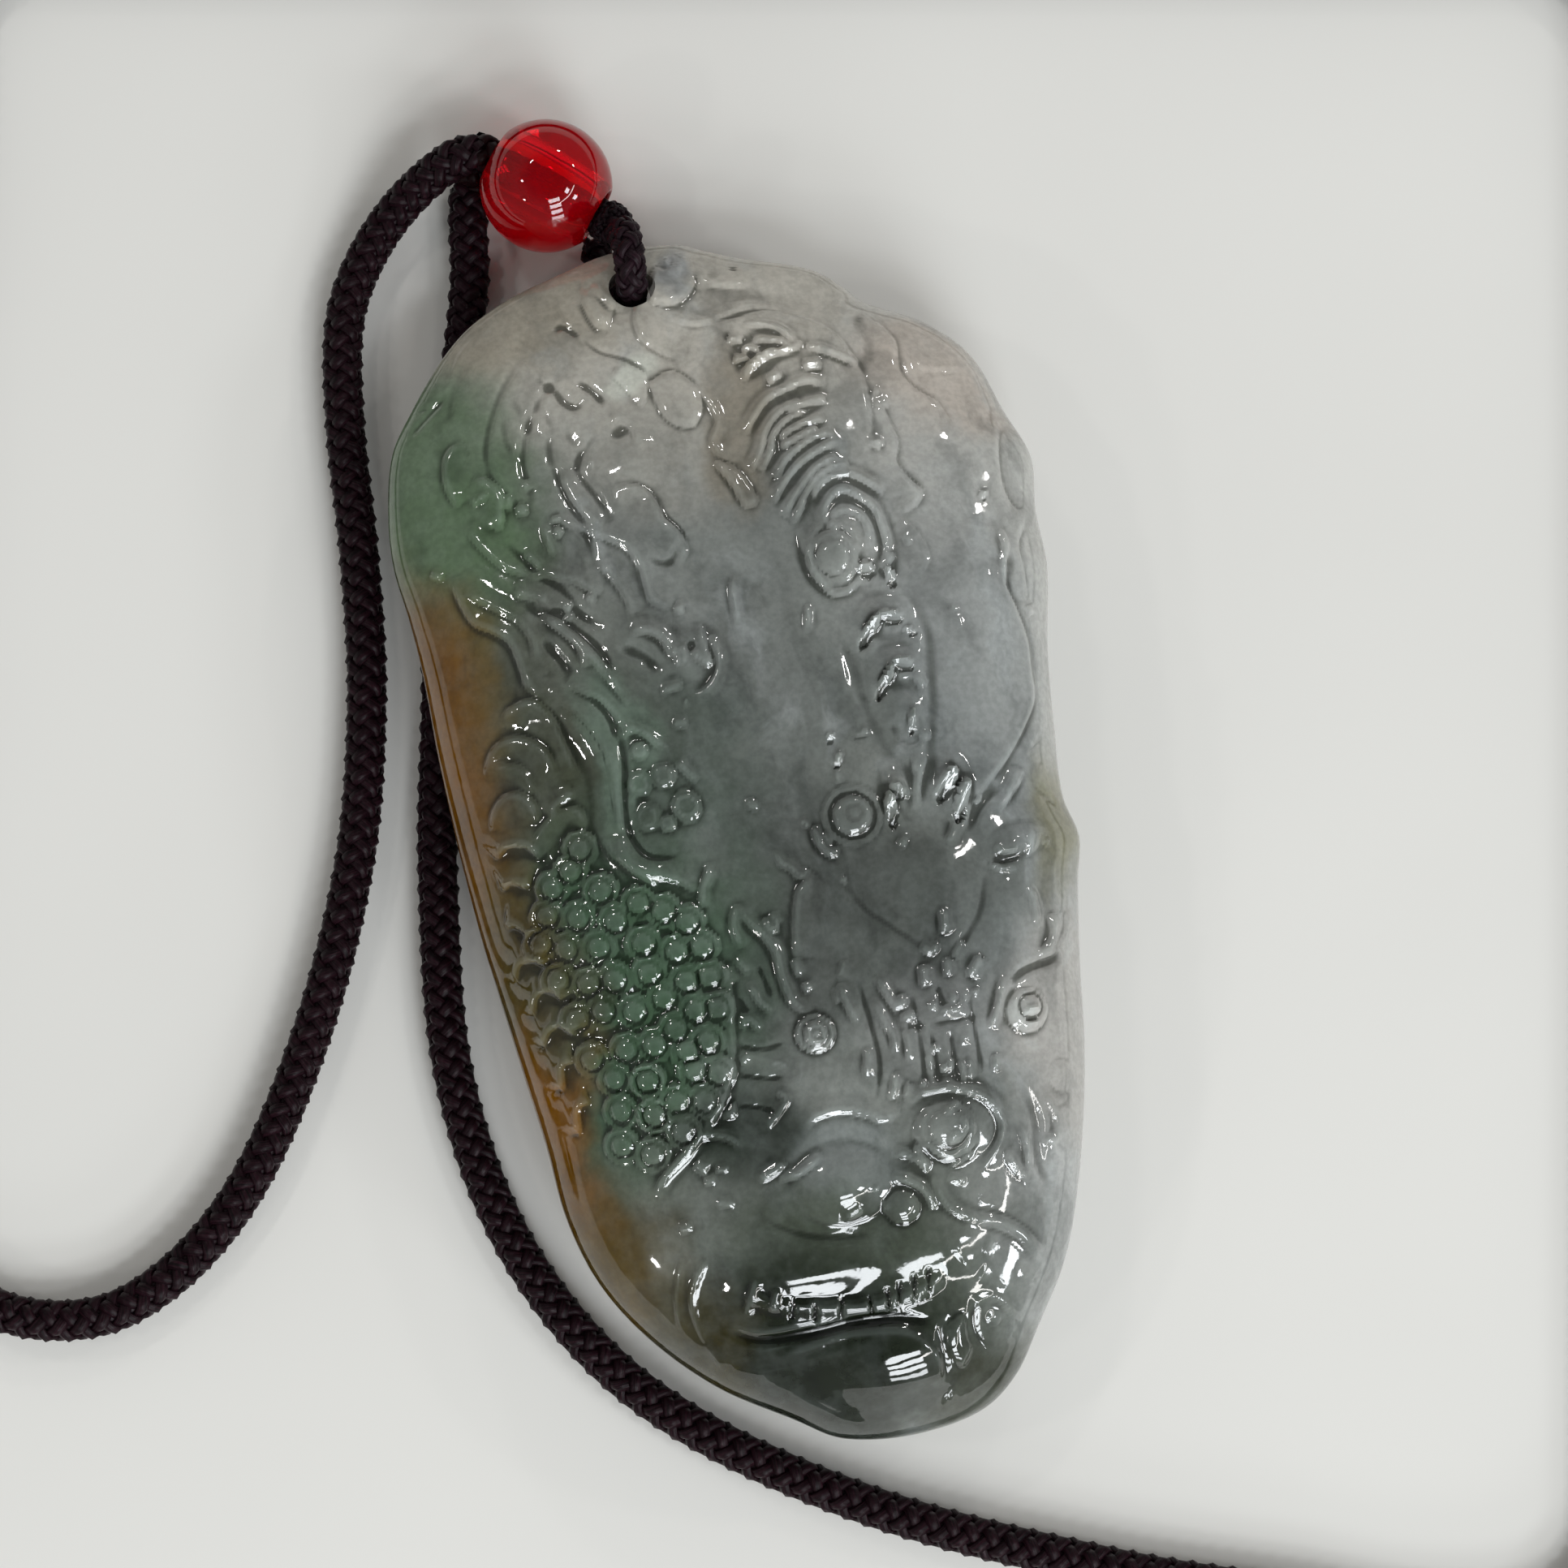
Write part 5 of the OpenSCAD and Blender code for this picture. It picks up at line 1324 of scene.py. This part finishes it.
DEEP_STAINS = [
    (-16, -2, 6, 14, 33, 16, (63, 67, 49), 0.88),  # dark olive left side
    (1.5, -5.5, 9, 10, 10, 14, (79, 83, 79), 0.82),  # smoky head
    (-15, 20.5, 6, 8.5, 9.5, 11, (96, 120, 90), 0.80),  # green curl
    (-9, -7, 8, 8.5, 13, 11, (63, 88, 66), 0.90),  # green scales
    (-5, 3, 8, 5, 8, 10, (65, 78, 68), 0.50),  # green drop
    (-8.3, 5, 10, 1.9, 5.5, 7, (106, 124, 110), 0.65),  # pale green leg
    (0, -25, 8, 12, 9.5, 12, (60, 68, 55), 0.88),  # dark lips
    (-4, -29.5, 7, 12, 8, 13, (18, 24, 12), 0.92),  # darkest corner of the mouth
    (-4.5, -16.5, 9, 5.5, 4.2, 9, (36, 43, 35), 0.80),  # dark throat
    (0, -18.8, 9, 4.4, 3.6, 9, (133, 139, 137), 0.80),  # pale round of the cheek
    (6, -13.2, 9, 4.4, 4.2, 9, (119, 121, 119), 0.70),  # pale bars
    (6.5, -31.5, 5, 5, 4.5, 8, (48, 50, 36), 0.80),  # olive tip
    (-14.0, -14, 5, 4.0, 9, 9, (122, 78, 0), 0.94),  # amber beside the scales
    (-13.0, -7.0, 8, 2.2, 6, 8, (66, 68, 42), 0.65),  # olive border of the amber
    (-12.5, -21, 4, 5.4, 7.5, 10, (80, 62, 8), 0.92),  # brown below the scales
    (-9.5, -26.5, 6, 3.8, 5.5, 9, (50, 44, 8), 0.75),  # olive corner of the mouth
    (-14.5, 10, 6, 3.4, 7, 7, (110, 85, 29), 0.60),  # amber, inner
    (-15, -3, 6, 3.4, 10, 9, (84, 66, 14), 0.80),  # brown frill
    (-17.5, 5, 3.5, 5.5, 15, 10, (116, 74, 0), 0.97),  # amber on the left rim
    (1.5, 21.5, 8, 2.2, 6, 8, (125, 115, 96), 0.55),  # brownish line
    (14.5, -2.5, 6, 3, 5, 8, (125, 121, 87), 0.60),  # olive ear
    (-3.5, 24.6, 8, 1.5, 1.6, 5, (213, 217, 206), 0.70),  # white fleck
    (0.3, 30.4, 7, 1.6, 2.4, 6, (150, 156, 160), 0.60),  # bluish lobe by the hole
    # The pearl's near-white colour is a painted highlight.
    (-0.35, -11.5, 10, 1.2, 1.2, 4, (190, 196, 192), 0.65),  # pale pearl
    (10.9, -12.3, 9, 1.2, 1.2, 4, (180, 184, 180), 0.55),  # pale right pearl
]
DRIFT = 9.0
DARK_CLOUD, PALE_CLOUD = shade(102, 106, 102), shade(132, 136, 131)
jade, tree, shader = new_finish("polished_jade")
in_mm = place_in_mm(tree)
wide = use_group(tree, mottle, {"Place": in_mm, "Size": 9.0, "Detail": 4.0, "Low": 0.40, "High": 0.62})
drift = put(tree, "ShaderNodeVectorMath", {0: wide.outputs["Wander"], "Scale": DRIFT}, operation="SCALE")
crooked = put(tree, "ShaderNodeVectorMath", {0: in_mm, 1: drift.outputs[0]}, operation="ADD").outputs[0]
color = blend(tree, wide.outputs["Value"], DARK_CLOUD, PALE_CLOUD)


def lay_stains(color, stains):
    """Lays a list of stains over a colour, one after the other."""
    for x, y, z, across, along, deep, tint, strength in stains:
        mask = use_group(tree, stain, {
            "Place": crooked, "Centre": (x, y, z), "Reach": (across, along, deep), "Strength": strength,
        }).outputs["Mask"]
        color = blend(tree, mask, color, shade(*tint))
    return color


color = lay_stains(color, PALE_STAINS)
print(f"{len(PALE_STAINS) + len(DEEP_STAINS)} stains")

# %% [markdown]
# Wisps are a second noise, stretched along the stone and bent, and only its brightest part shows. Smoke is
# another one like it, laid over the deep stains, and darkens them in streaks. The flecks, a millimetre
# wide, whiten the stone, and the grain, a third of a millimetre wide, darkens it. The mesh's own attribute
# then paints shade into the hollows and a highlight onto the crests, and the hollows are a little less
# glossy, because the polish doesn't reach them.

# %% Jade: wisps, grain, hollows and gloss
WISP_WHITE, FLECK_AND_GLINT_WHITE = shade(176, 182, 182), shade(84, 90, 88)
SMOKE_GLASS, GRAIN_GLASS, HOLLOW_SHADE_GLASS = shade(140, 143, 141), shade(185, 185, 185), shade(108, 110, 100)


def streaked(turn, shift, squeeze):
    """The crooked place, turned and shifted, and squeezed along the stone so that a noise on it is long."""
    return put(tree, "ShaderNodeMapping", {
        "Vector": crooked, "Location": shift, "Rotation": (0, 0, turn), "Scale": (1, squeeze, 1),
    }).outputs[0]


def tint_by(noise, share, color, other):
    """Blends a colour towards another one where a noise is bright, up to a share."""
    return blend(tree, reckon(tree, "MULTIPLY", noise.outputs["Value"], share), color, other)


wisp_place = streaked(0.25, (0, 0, 0), 0.4)
wisps = use_group(tree, mottle, {"Place": wisp_place, "Size": 3.2, "Detail": 5.0, "Low": 0.52, "High": 0.74})
flecks = use_group(tree, mottle, {"Place": in_mm, "Size": 1.3, "Detail": 3.0, "Low": 0.36, "High": 0.68})
grain = use_group(tree, mottle, {"Place": in_mm, "Size": 0.35, "Detail": 2.0, "Low": 0.30, "High": 0.70})
color = tint_by(wisps, 0.38, color, WISP_WHITE)
color = lay_stains(color, DEEP_STAINS)
smoke_place = streaked(0, (7, 3, 1), 0.45)
smoke = use_group(tree, mottle, {"Place": smoke_place, "Size": 2.4, "Detail": 6.0, "Low": 0.45, "High": 0.70})
color = tint_by(smoke, 0.42, color, filtered(tree, color, SMOKE_GLASS))
# One whitened colour, used both for the pale flecks and for the painted highlight on the crests.
whiter_flecks_and_glints = blend(tree, 1.0, color, FLECK_AND_GLINT_WHITE, "SCREEN")
color = tint_by(flecks, 0.22, color, whiter_flecks_and_glints)
color = tint_by(grain, 0.30, color, filtered(tree, color, GRAIN_GLASS))
hollow_value = put(tree, "ShaderNodeAttribute", attribute_name="hollow").outputs["Fac"]
# Painted shade: the colour is darkened through the hollow glass where the surface lies lower than its
# surroundings.
deep = spread(tree, hollow_value, 0.006, 0.075, 0.0, 0.78)
# Painted highlight: the colour is whitened on the crests, where the surface stands above its surroundings.
painted_crest_highlight = spread(tree, hollow_value, -0.02, -0.10, 0.0, 0.40)
color = blend(tree, deep, color, filtered(tree, color, HOLLOW_SHADE_GLASS))
color = blend(tree, painted_crest_highlight, color, whiter_flecks_and_glints)
tree.links.new(color, shader.inputs["Base Color"])
rough = spread(tree, flecks.outputs["Value"], 0.0, 1.0, 0.035, 0.07)
rough = reckon(tree, "ADD", rough, spread(tree, hollow_value, 0.03, 0.14, 0.0, 0.08))
tree.links.new(rough, shader.inputs["Roughness"])
skin = put(tree, "ShaderNodeBump", {"Height": wide.outputs["Value"], "Strength": 0.10, "Distance": 0.00008})
skin = put(tree, "ShaderNodeBump", {
    "Height": flecks.outputs["Value"], "Strength": 0.10, "Distance": 0.00003, "Normal": skin.outputs[0],
})
tree.links.new(skin.outputs[0], shader.inputs["Normal"])
shader.inputs["IOR"].default_value = 1.66
shader.inputs["Subsurface Weight"].default_value = 0.35
shader.inputs["Subsurface Radius"].default_value = (0.9, 1.0, 0.9)
shader.inputs["Subsurface Scale"].default_value = 0.0009
dress(stone, jade)
print("jade finish on", stone.name)

# %% [markdown]
# ### Braided nylon
#
# The cord is nylon, dyed a brown so dark that it looks black, and its strands shine a little like silk.
# Every strand is a bundle of fine fibres, so a noise on the strand's own map, stretched along it, bumps and
# streaks it. The neck cord, the strands in the bead, the knot and the hanger are the same stuff in
# different thicknesses, so one group makes them all and each gets its own shades and its own fineness of
# fibres.

# %% Nylon: one group for all the cords
STREAK_SCALE = 1.6
fibres, given, result = new_group(
    "nylon_fibres",
    [("Strand", "NodeSocketVector", (0, 0, 0)), ("Fibres", "NodeSocketFloat", 7.0),
     ("Dark", "NodeSocketColor", (0.01, 0.01, 0.01, 1)),
     ("Light", "NodeSocketColor", (0.05, 0.05, 0.05, 1))],
    [("Color", "NodeSocketColor"), ("Height", "NodeSocketFloat"), ("Roughness", "NodeSocketFloat")],
)
split = put(fibres, "ShaderNodeSeparateXYZ", {0: given.outputs["Strand"]})
round_way = reckon(fibres, "MULTIPLY", split.outputs[0], 2 * math.pi)
streak_place = put(fibres, "ShaderNodeCombineXYZ", {
    0: reckon(fibres, "MULTIPLY", reckon(fibres, "COSINE", round_way), given.outputs["Fibres"]),
    1: reckon(fibres, "MULTIPLY", reckon(fibres, "SINE", round_way), given.outputs["Fibres"]),
    2: reckon(fibres, "MULTIPLY", split.outputs[1], STREAK_SCALE),
})
streaks = put(fibres, "ShaderNodeTexNoise", {
    "Vector": streak_place.outputs[0], "Scale": 1.0, "Detail": 2.0, "Roughness": 0.6,
})
fibre_tone = spread(fibres, streaks.outputs[0], 0.35, 0.68)
fibre_color = blend(fibres, fibre_tone, given.outputs["Dark"], given.outputs["Light"])
fibres.links.new(fibre_color, result.inputs["Color"])
fibres.links.new(streaks.outputs[0], result.inputs["Height"])
fibres.links.new(spread(fibres, streaks.outputs[0], 0.3, 0.7, 0.46, 0.30), result.inputs["Roughness"])


def nylon(name, dark, light, fineness):
    """A nylon finish for one cord."""
    material, tree, shader = new_finish(name)
    strand = put(tree, "ShaderNodeUVMap", uv_map="strand").outputs[0]
    thread = use_group(tree, fibres, {"Strand": strand, "Fibres": fineness, "Dark": dark, "Light": light})
    tree.links.new(thread.outputs["Color"], shader.inputs["Base Color"])
    tree.links.new(thread.outputs["Roughness"], shader.inputs["Roughness"])
    bump = put(tree, "ShaderNodeBump", {
        "Height": thread.outputs["Height"], "Strength": 0.5, "Distance": 0.00004,
    })
    tree.links.new(bump.outputs[0], shader.inputs["Normal"])
    shader.inputs["Sheen Weight"].default_value = 0.02
    shader.inputs["Sheen Roughness"].default_value = 0.35
    shader.inputs["Sheen Tint"].default_value = shade(190, 150, 175)
    shader.inputs["Specular IOR Level"].default_value = 0.12
    return material


dress(neck_cord, nylon("neck_cord_nylon", shade(10, 4, 6), shade(38, 18, 25), 7.0))
print("nylon on", neck_cord.name)

# %% [markdown]
# ## The red bead
#
# One clear red glass bead, drilled through, with the cord's two ends pressed into it. Half of its
# cross-section is drawn as a closed line of points: up the outside of the ball, round one mouth, down the
# bore and round the other mouth. Spinning that line about the bore's axis makes the glass, and the wall of
# the bore comes with it, which clear glass needs, because the bore is seen through it.

# %% The bead, spun from its cross-section
BEAD_D, BORE_D = 7.3, 2.8
BORE_TURN = math.radians(140)
BEAD_LEFT, BEAD_UP = 3.35, 4.5
BEAD_AT = Vector((-HOLE_SIDE - BEAD_LEFT, HALF_L + BEAD_UP, BEAD_D / 2))
BORE_WAY = Vector((math.cos(BORE_TURN), math.sin(BORE_TURN), 0))
MOUTH_OFF = math.sqrt(BEAD_D**2 - BORE_D**2) / 2
MOUTH_ROUND = 0.22
BALL_STEPS, MOUTH_STEPS, BORE_STEPS, SPIN_STEPS = 56, 9, 9, 96


def bead_section():
    """Half of the bead's cross-section: distance from the axis and height along it."""
    ball, bore = BEAD_D / 2, BORE_D / 2
    lip_r = bore + MOUTH_ROUND
    lip_h = math.sqrt((ball - MOUTH_ROUND) ** 2 - lip_r**2)
    start = math.asin(lip_r / (ball - MOUTH_ROUND))
    ball_turns = np.linspace(start, math.pi - start, BALL_STEPS)
    outer = [(ball * math.sin(a), -ball * math.cos(a)) for a in ball_turns]
    mouth_turns = np.linspace(math.pi / 2 - start, math.pi, MOUTH_STEPS)[1:]
    upper = [(lip_r + MOUTH_ROUND * math.cos(a), lip_h + MOUTH_ROUND * math.sin(a)) for a in mouth_turns]
    wall = [(bore, h) for h in np.linspace(lip_h, -lip_h, BORE_STEPS)[1:-1]]
    lower = [(r, -h) for r, h in reversed(upper)]
    return outer + upper + wall + lower


across_bore = Vector((-BORE_WAY.y, BORE_WAY.x, 0))
section_points = [(BEAD_AT + BORE_WAY * h + across_bore * r) * MM for r, h in bead_section()]
mesh = bpy.data.meshes.new("red_glass_bead")
count = len(section_points)
mesh.from_pydata([tuple(p) for p in section_points], [(i, (i + 1) % count) for i in range(count)], [])
bead = add_to_scene("red_glass_bead", mesh)
activate(bead)
bpy.ops.object.mode_set(mode="EDIT")
bpy.ops.mesh.select_all(action="SELECT")
bpy.ops.mesh.spin(steps=SPIN_STEPS, angle=2 * math.pi, center=tuple(BEAD_AT * MM), axis=tuple(BORE_WAY))
bpy.ops.mesh.select_all(action="SELECT")
bpy.ops.mesh.remove_doubles(threshold=MERGE_WITHIN)
bpy.ops.mesh.normals_make_consistent(inside=False)
bpy.ops.object.mode_set(mode="OBJECT")
bpy.ops.object.shade_smooth()
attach(bead, "root")
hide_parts("red_bead")
print(f"bead: {len(bead.data.polygons)} faces")

# %% [markdown]
# Clear glass keeps a plain transmission, and the light that passes through it takes its colour. Tiny
# unevenness of the ball, from pressing, bends its highlights a little.

# %% Red glass
DEEP_RED, BRIGHT_RED = shade(244, 2, 20), shade(250, 6, 34)
glass, tree, shader = new_finish("red_glass")
uneven = use_group(tree, mottle, {
    "Place": place_in_mm(tree), "Size": 2.4, "Detail": 2.0, "Low": 0.3, "High": 0.7,
}).outputs["Value"]
tree.links.new(blend(tree, uneven, DEEP_RED, BRIGHT_RED), shader.inputs["Base Color"])
pressing = put(tree, "ShaderNodeBump", {"Height": uneven, "Strength": 0.12, "Distance": 0.00005})
tree.links.new(pressing.outputs[0], shader.inputs["Normal"])
shader.inputs["Transmission Weight"].default_value = 0.86
shader.inputs["Roughness"].default_value = 0.015
shader.inputs["IOR"].default_value = 1.49
dress(bead, glass)
print("red glass on", bead.name)

# %% [markdown]
# ## The cord in the bead
#
# Both ends of the neck cord are pulled through the bead, where they are pressed to half their thickness and
# lie side by side. They are two short braids that swell where they leave the upper mouth: one goes on as
# the strand that is seen, and the other bends down to the strand that lies under it.

# %% The pressed strands
CORE_LOW = 0.35
CORE_FOOT = BEAD_AT - BORE_WAY * (MOUTH_OFF + CORE_LOW - 0.05)
LINE_A = [CORE_FOOT + across_bore * 0.45 + Vector((0, 0, 0.35)),
          BEAD_AT - BORE_WAY * 1.6 + across_bore * 0.55 + Vector((0, 0, 0.35)),
          BEAD_AT + BORE_WAY * 1.6 + across_bore * 0.50 + Vector((0, 0, 0.35)),
          BEAD_AT + BORE_WAY * MOUTH_OFF + Vector((0, 0, 0.15)),
          Vector(CORD_ROUTE[0]) + Vector((-0.05, 0.0, 0.0))]
LINE_B = [CORE_FOOT - across_bore * 0.45 - Vector((0, 0, 0.35)),
          BEAD_AT - BORE_WAY * 1.6 - across_bore * 0.55 - Vector((0, 0, 0.30)),
          BEAD_AT + BORE_WAY * 1.4 - across_bore * 0.35 - Vector((0, 0, 0.45)),
          BEAD_AT + BORE_WAY * (MOUTH_OFF + 0.1) - across_bore * 0.1 - Vector((0, 0, 0.75)),
          Vector((-9.0, 39.35, 2.1)),
          Vector(CORD_ROUTE[-1]) + Vector((0.03, 0.12, 0.05))]


def pressed_strand(name, points, taper):
    return braid_mesh(name, smooth_route(points, 8), CORD_D, step=0.16, core_step=0.4, lay=4.0, taper=taper)


strand_a = pressed_strand("pressed_strand_a", LINE_A, [(0, 0.5), (0.72, 0.52), (0.9, 0.85), (1, 0.98)])
strand_b = pressed_strand("pressed_strand_b", LINE_B, [(0, 0.5), (0.62, 0.52), (0.78, 0.75), (1, 0.98)])
join(strand_a, strand_b)
strand_a.name = "pressed_strands"
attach(strand_a, "root")
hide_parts("bead_core")
dress(strand_a, nylon("pressed_nylon", shade(16, 3, 4), shade(30, 8, 10), 6.0))
print(f"pressed strands: {triangles(strand_a)} triangles")

# %% [markdown]
# ## The knot and the hanger
#
# A thinner braid of the same nylon holds the stone. It comes out of a small wrapped knot under the bead,
# goes over the stone's rim into the hole, and comes back underneath. The knot is a still thinner braid, wound
# a few times round the hanger's upper end. Its line is a helix that is a little tighter at both ends and in
# its middle, so that the turns settle against each other.

# %% The wrapped knot
HANGER_D, KNOT_W, KNOT_L, KNOT_TURNS = 1.9, 2.6, 1.5, 3
KNOT_TURN, KNOT_LEAN, KNOT_GAP = math.radians(-70), math.radians(45), 0.05
KNOT_WAY = Vector((
    math.cos(KNOT_TURN) * math.cos(KNOT_LEAN), math.sin(KNOT_TURN) * math.cos(KNOT_LEAN), math.sin(KNOT_LEAN)
))
KNOT_FOOT = BEAD_AT - BORE_WAY * (MOUTH_OFF + CORE_LOW + KNOT_GAP)
KNOT_HEAD = KNOT_FOOT + KNOT_WAY * KNOT_L
knot_side = KNOT_WAY.cross(Vector((0, 0, 1))).normalized()
knot_third = KNOT_WAY.cross(knot_side)
WRAP_D, WRAP_STEPS, WRAP_TIGHTER = 0.86, 24, 0.10
WRAP_START, WRAP_RISE, WRAP_SHIFT = -0.05, KNOT_L - 0.35, 0.15
LAST_STEP = WRAP_STEPS * KNOT_TURNS + WRAP_STEPS // 2
wrap_line = []
for i in range(LAST_STEP + 1):
    turn = 2 * math.pi * i / WRAP_STEPS
    rise = WRAP_START + WRAP_RISE * i / LAST_STEP
    tighter = WRAP_TIGHTER * math.cos(2 * math.pi * i / LAST_STEP) ** 2
    radius = (KNOT_W - WRAP_D) / 2 * (1 - tighter)
    outward = knot_side * math.cos(turn) + knot_third * math.sin(turn)
    wrap_line.append(tuple(KNOT_FOOT + KNOT_WAY * (rise + WRAP_SHIFT) + outward * radius))
knot = braid_mesh("wrapped_knot", np.array(wrap_line), WRAP_D, lay=1.7, step=0.07, core_step=0.25)
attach(knot, "root")
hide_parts("wrap_knot")
dress(knot, nylon("knot_nylon", shade(9, 5, 7), shade(40, 24, 31), 4.0))
print(f"knot: {triangles(knot)} triangles")

# %% The hanger
END_Z = GIRDLE_H * SECTIONS[-1, 3]
HOLE_X, HOLE_Y = HOLE_AT
HANGER_ROUTE = [
    tuple(KNOT_HEAD - KNOT_WAY * 0.9),
    tuple(KNOT_HEAD + KNOT_WAY * 0.05),
    tuple(KNOT_HEAD + KNOT_WAY * 0.55),
    (HOLE_X + 0.15, HALF_L + 0.55, END_Z + 1.75),
    (HOLE_X + 0.15, HALF_L - 0.1, END_Z + 2.5),
    (HOLE_X + 0.1, HOLE_Y + HOLE_D / 2 + 0.4, END_Z + 3),
    (HOLE_X, HOLE_Y + 0.55, END_Z + 2.9),
    (HOLE_X, HOLE_Y + 0.05, END_Z + 1.9),
    (HOLE_X, HOLE_Y, END_Z - 0.3),
    (HOLE_X, HOLE_Y, HANGER_D + 0.55),
    (HOLE_X - 0.1, HOLE_Y + 0.3, HANGER_D / 2 + 0.75),
    (HOLE_X - 0.45, HOLE_Y + 1.1, HANGER_D / 2 + 0.1),
    (HOLE_X - 0.95, HALF_L - 0.2, HANGER_D / 2),
    (HOLE_X - 1.1, HALF_L + 0.8, HANGER_D / 2),
    (HOLE_X - 0.9, HALF_L + 1.6, HANGER_D / 2 + 0.1),
]
hanger_line = smooth_route(HANGER_ROUTE, 10)
hanger = braid_mesh("braided_hanger", hanger_line, HANGER_D, lay=3.6, step=0.14, core_step=0.3)
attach(hanger, "root")
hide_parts("hanger_loop")
dress(hanger, nylon("hanger_nylon", shade(11, 6, 8), shade(44, 26, 34), 6.0))
print(f"hanger: {triangles(hanger)} triangles")

# %% [markdown]
# ## The table and the light
#
# The photograph was taken indoors, with soft light from all round and one bright window, whose panes are
# mirrored in the polished lower lip. Here the pendant lies on a plain pale table. The window is four panes
# above each other and two more beside them, so that its reflections have the same bright bars, and a few
# thin lamps stand round the table for the small glints.

# %% Table, window and room light
TABLE_SIZE = 3.0
bpy.ops.mesh.primitive_plane_add(size=TABLE_SIZE, location=(0, 0, 0))
table = bpy.context.object
table.name = "table"
TABLE_DARK, TABLE_PALE = shade(218, 217, 213), shade(221, 220, 216)
table_finish, tree, shader = new_finish("pale_table")
faint = use_group(tree, mottle, {
    "Place": place_in_mm(tree), "Size": 40.0, "Detail": 2.0, "Low": 0.3, "High": 0.7,
}).outputs["Value"]
tree.links.new(blend(tree, faint, TABLE_DARK, TABLE_PALE), shader.inputs["Base Color"])
shader.inputs["Roughness"].default_value = 0.7
dress(table, table_finish)


def area_light(name, azimuth, elevation, distance, width, height, power, color):
    """A rectangular light that faces the stone from a direction, given in degrees."""
    data = bpy.data.lights.new(name, "AREA")
    data.shape = "RECTANGLE"
    data.size, data.size_y = width, height
    data.energy = power
    data.color = color
    light = add_to_scene(name, data)
    a, e = math.radians(azimuth), math.radians(elevation)
    away = Vector((math.sin(a) * math.cos(e), -math.cos(a) * math.cos(e), math.sin(e)))
    light.location = LOOK_AT + away * distance
    light.rotation_euler = away.to_track_quat("Z", "Y").to_euler()


WINDOW_LIGHT, WINDOW_DISTANCE = (0.93, 0.97, 1.0), 0.8
PANES = [
    # azimuth, elevation, width, height, power
    (8, 50, 0.28, 0.10, 1.2), (8, 39, 0.28, 0.10, 1.2), (8, 28, 0.28, 0.10, 1.15), (8, 16, 0.28, 0.09, 0.8),
    (52, 50, 0.12, 0.09, 0.6), (52, 30, 0.12, 0.09, 0.6),
]
for azimuth, elevation, width, height, power in PANES:
    name = f"pane_{azimuth}_{elevation}"
    area_light(name, azimuth, elevation, WINDOW_DISTANCE, width, height, power, WINDOW_LIGHT)
LAMP_LIGHT, LAMP_DISTANCE = (1.0, 0.98, 0.95), 0.9
LAMPS = [
    # azimuth, elevation, width, height, power
    (32, 42, 0.30, 0.03, 0.38), (58, 42, 0.30, 0.03, 0.38), (-150, 50, 0.10, 0.03, 0.36),
    (-98, 46, 0.05, 0.03, 0.34), (150, 36, 0.06, 0.035, 0.30), (112, 38, 0.06, 0.035, 0.30),
    (-60, 34, 0.06, 0.035, 0.34),
]
for azimuth, elevation, width, height, power in LAMPS:
    name = f"lamp_{azimuth}_{elevation}"
    area_light(name, azimuth, elevation, LAMP_DISTANCE, width, height, power, LAMP_LIGHT)

ROOM_LOW, ROOM_HIGH, MIRRORED_SHARE = (0.55, 0.542, 0.525, 1), (0.145, 0.148, 0.15, 1), (0.35, 0.36, 0.38, 1)
world = bpy.data.worlds.new("room")
world.use_nodes = True
sky = world.node_tree
direction = put(sky, "ShaderNodeTexCoord").outputs["Generated"]
height = put(sky, "ShaderNodeSeparateXYZ", {0: direction}).outputs[2]
walls = blend(sky, spread(sky, height, 0.55, 0.92), ROOM_LOW, ROOM_HIGH)
mirrored = put(sky, "ShaderNodeLightPath").outputs["Is Glossy Ray"]
walls = blend(sky, mirrored, walls, filtered(sky, walls, MIRRORED_SHARE))
sky.links.new(walls, sky.nodes["Background"].inputs["Color"])
bpy.context.scene.world = world
bpy.context.scene.view_settings.view_transform = "Standard"
print(f"{len(PANES)} panes, {len(LAMPS)} thin lamps and one soft room light")
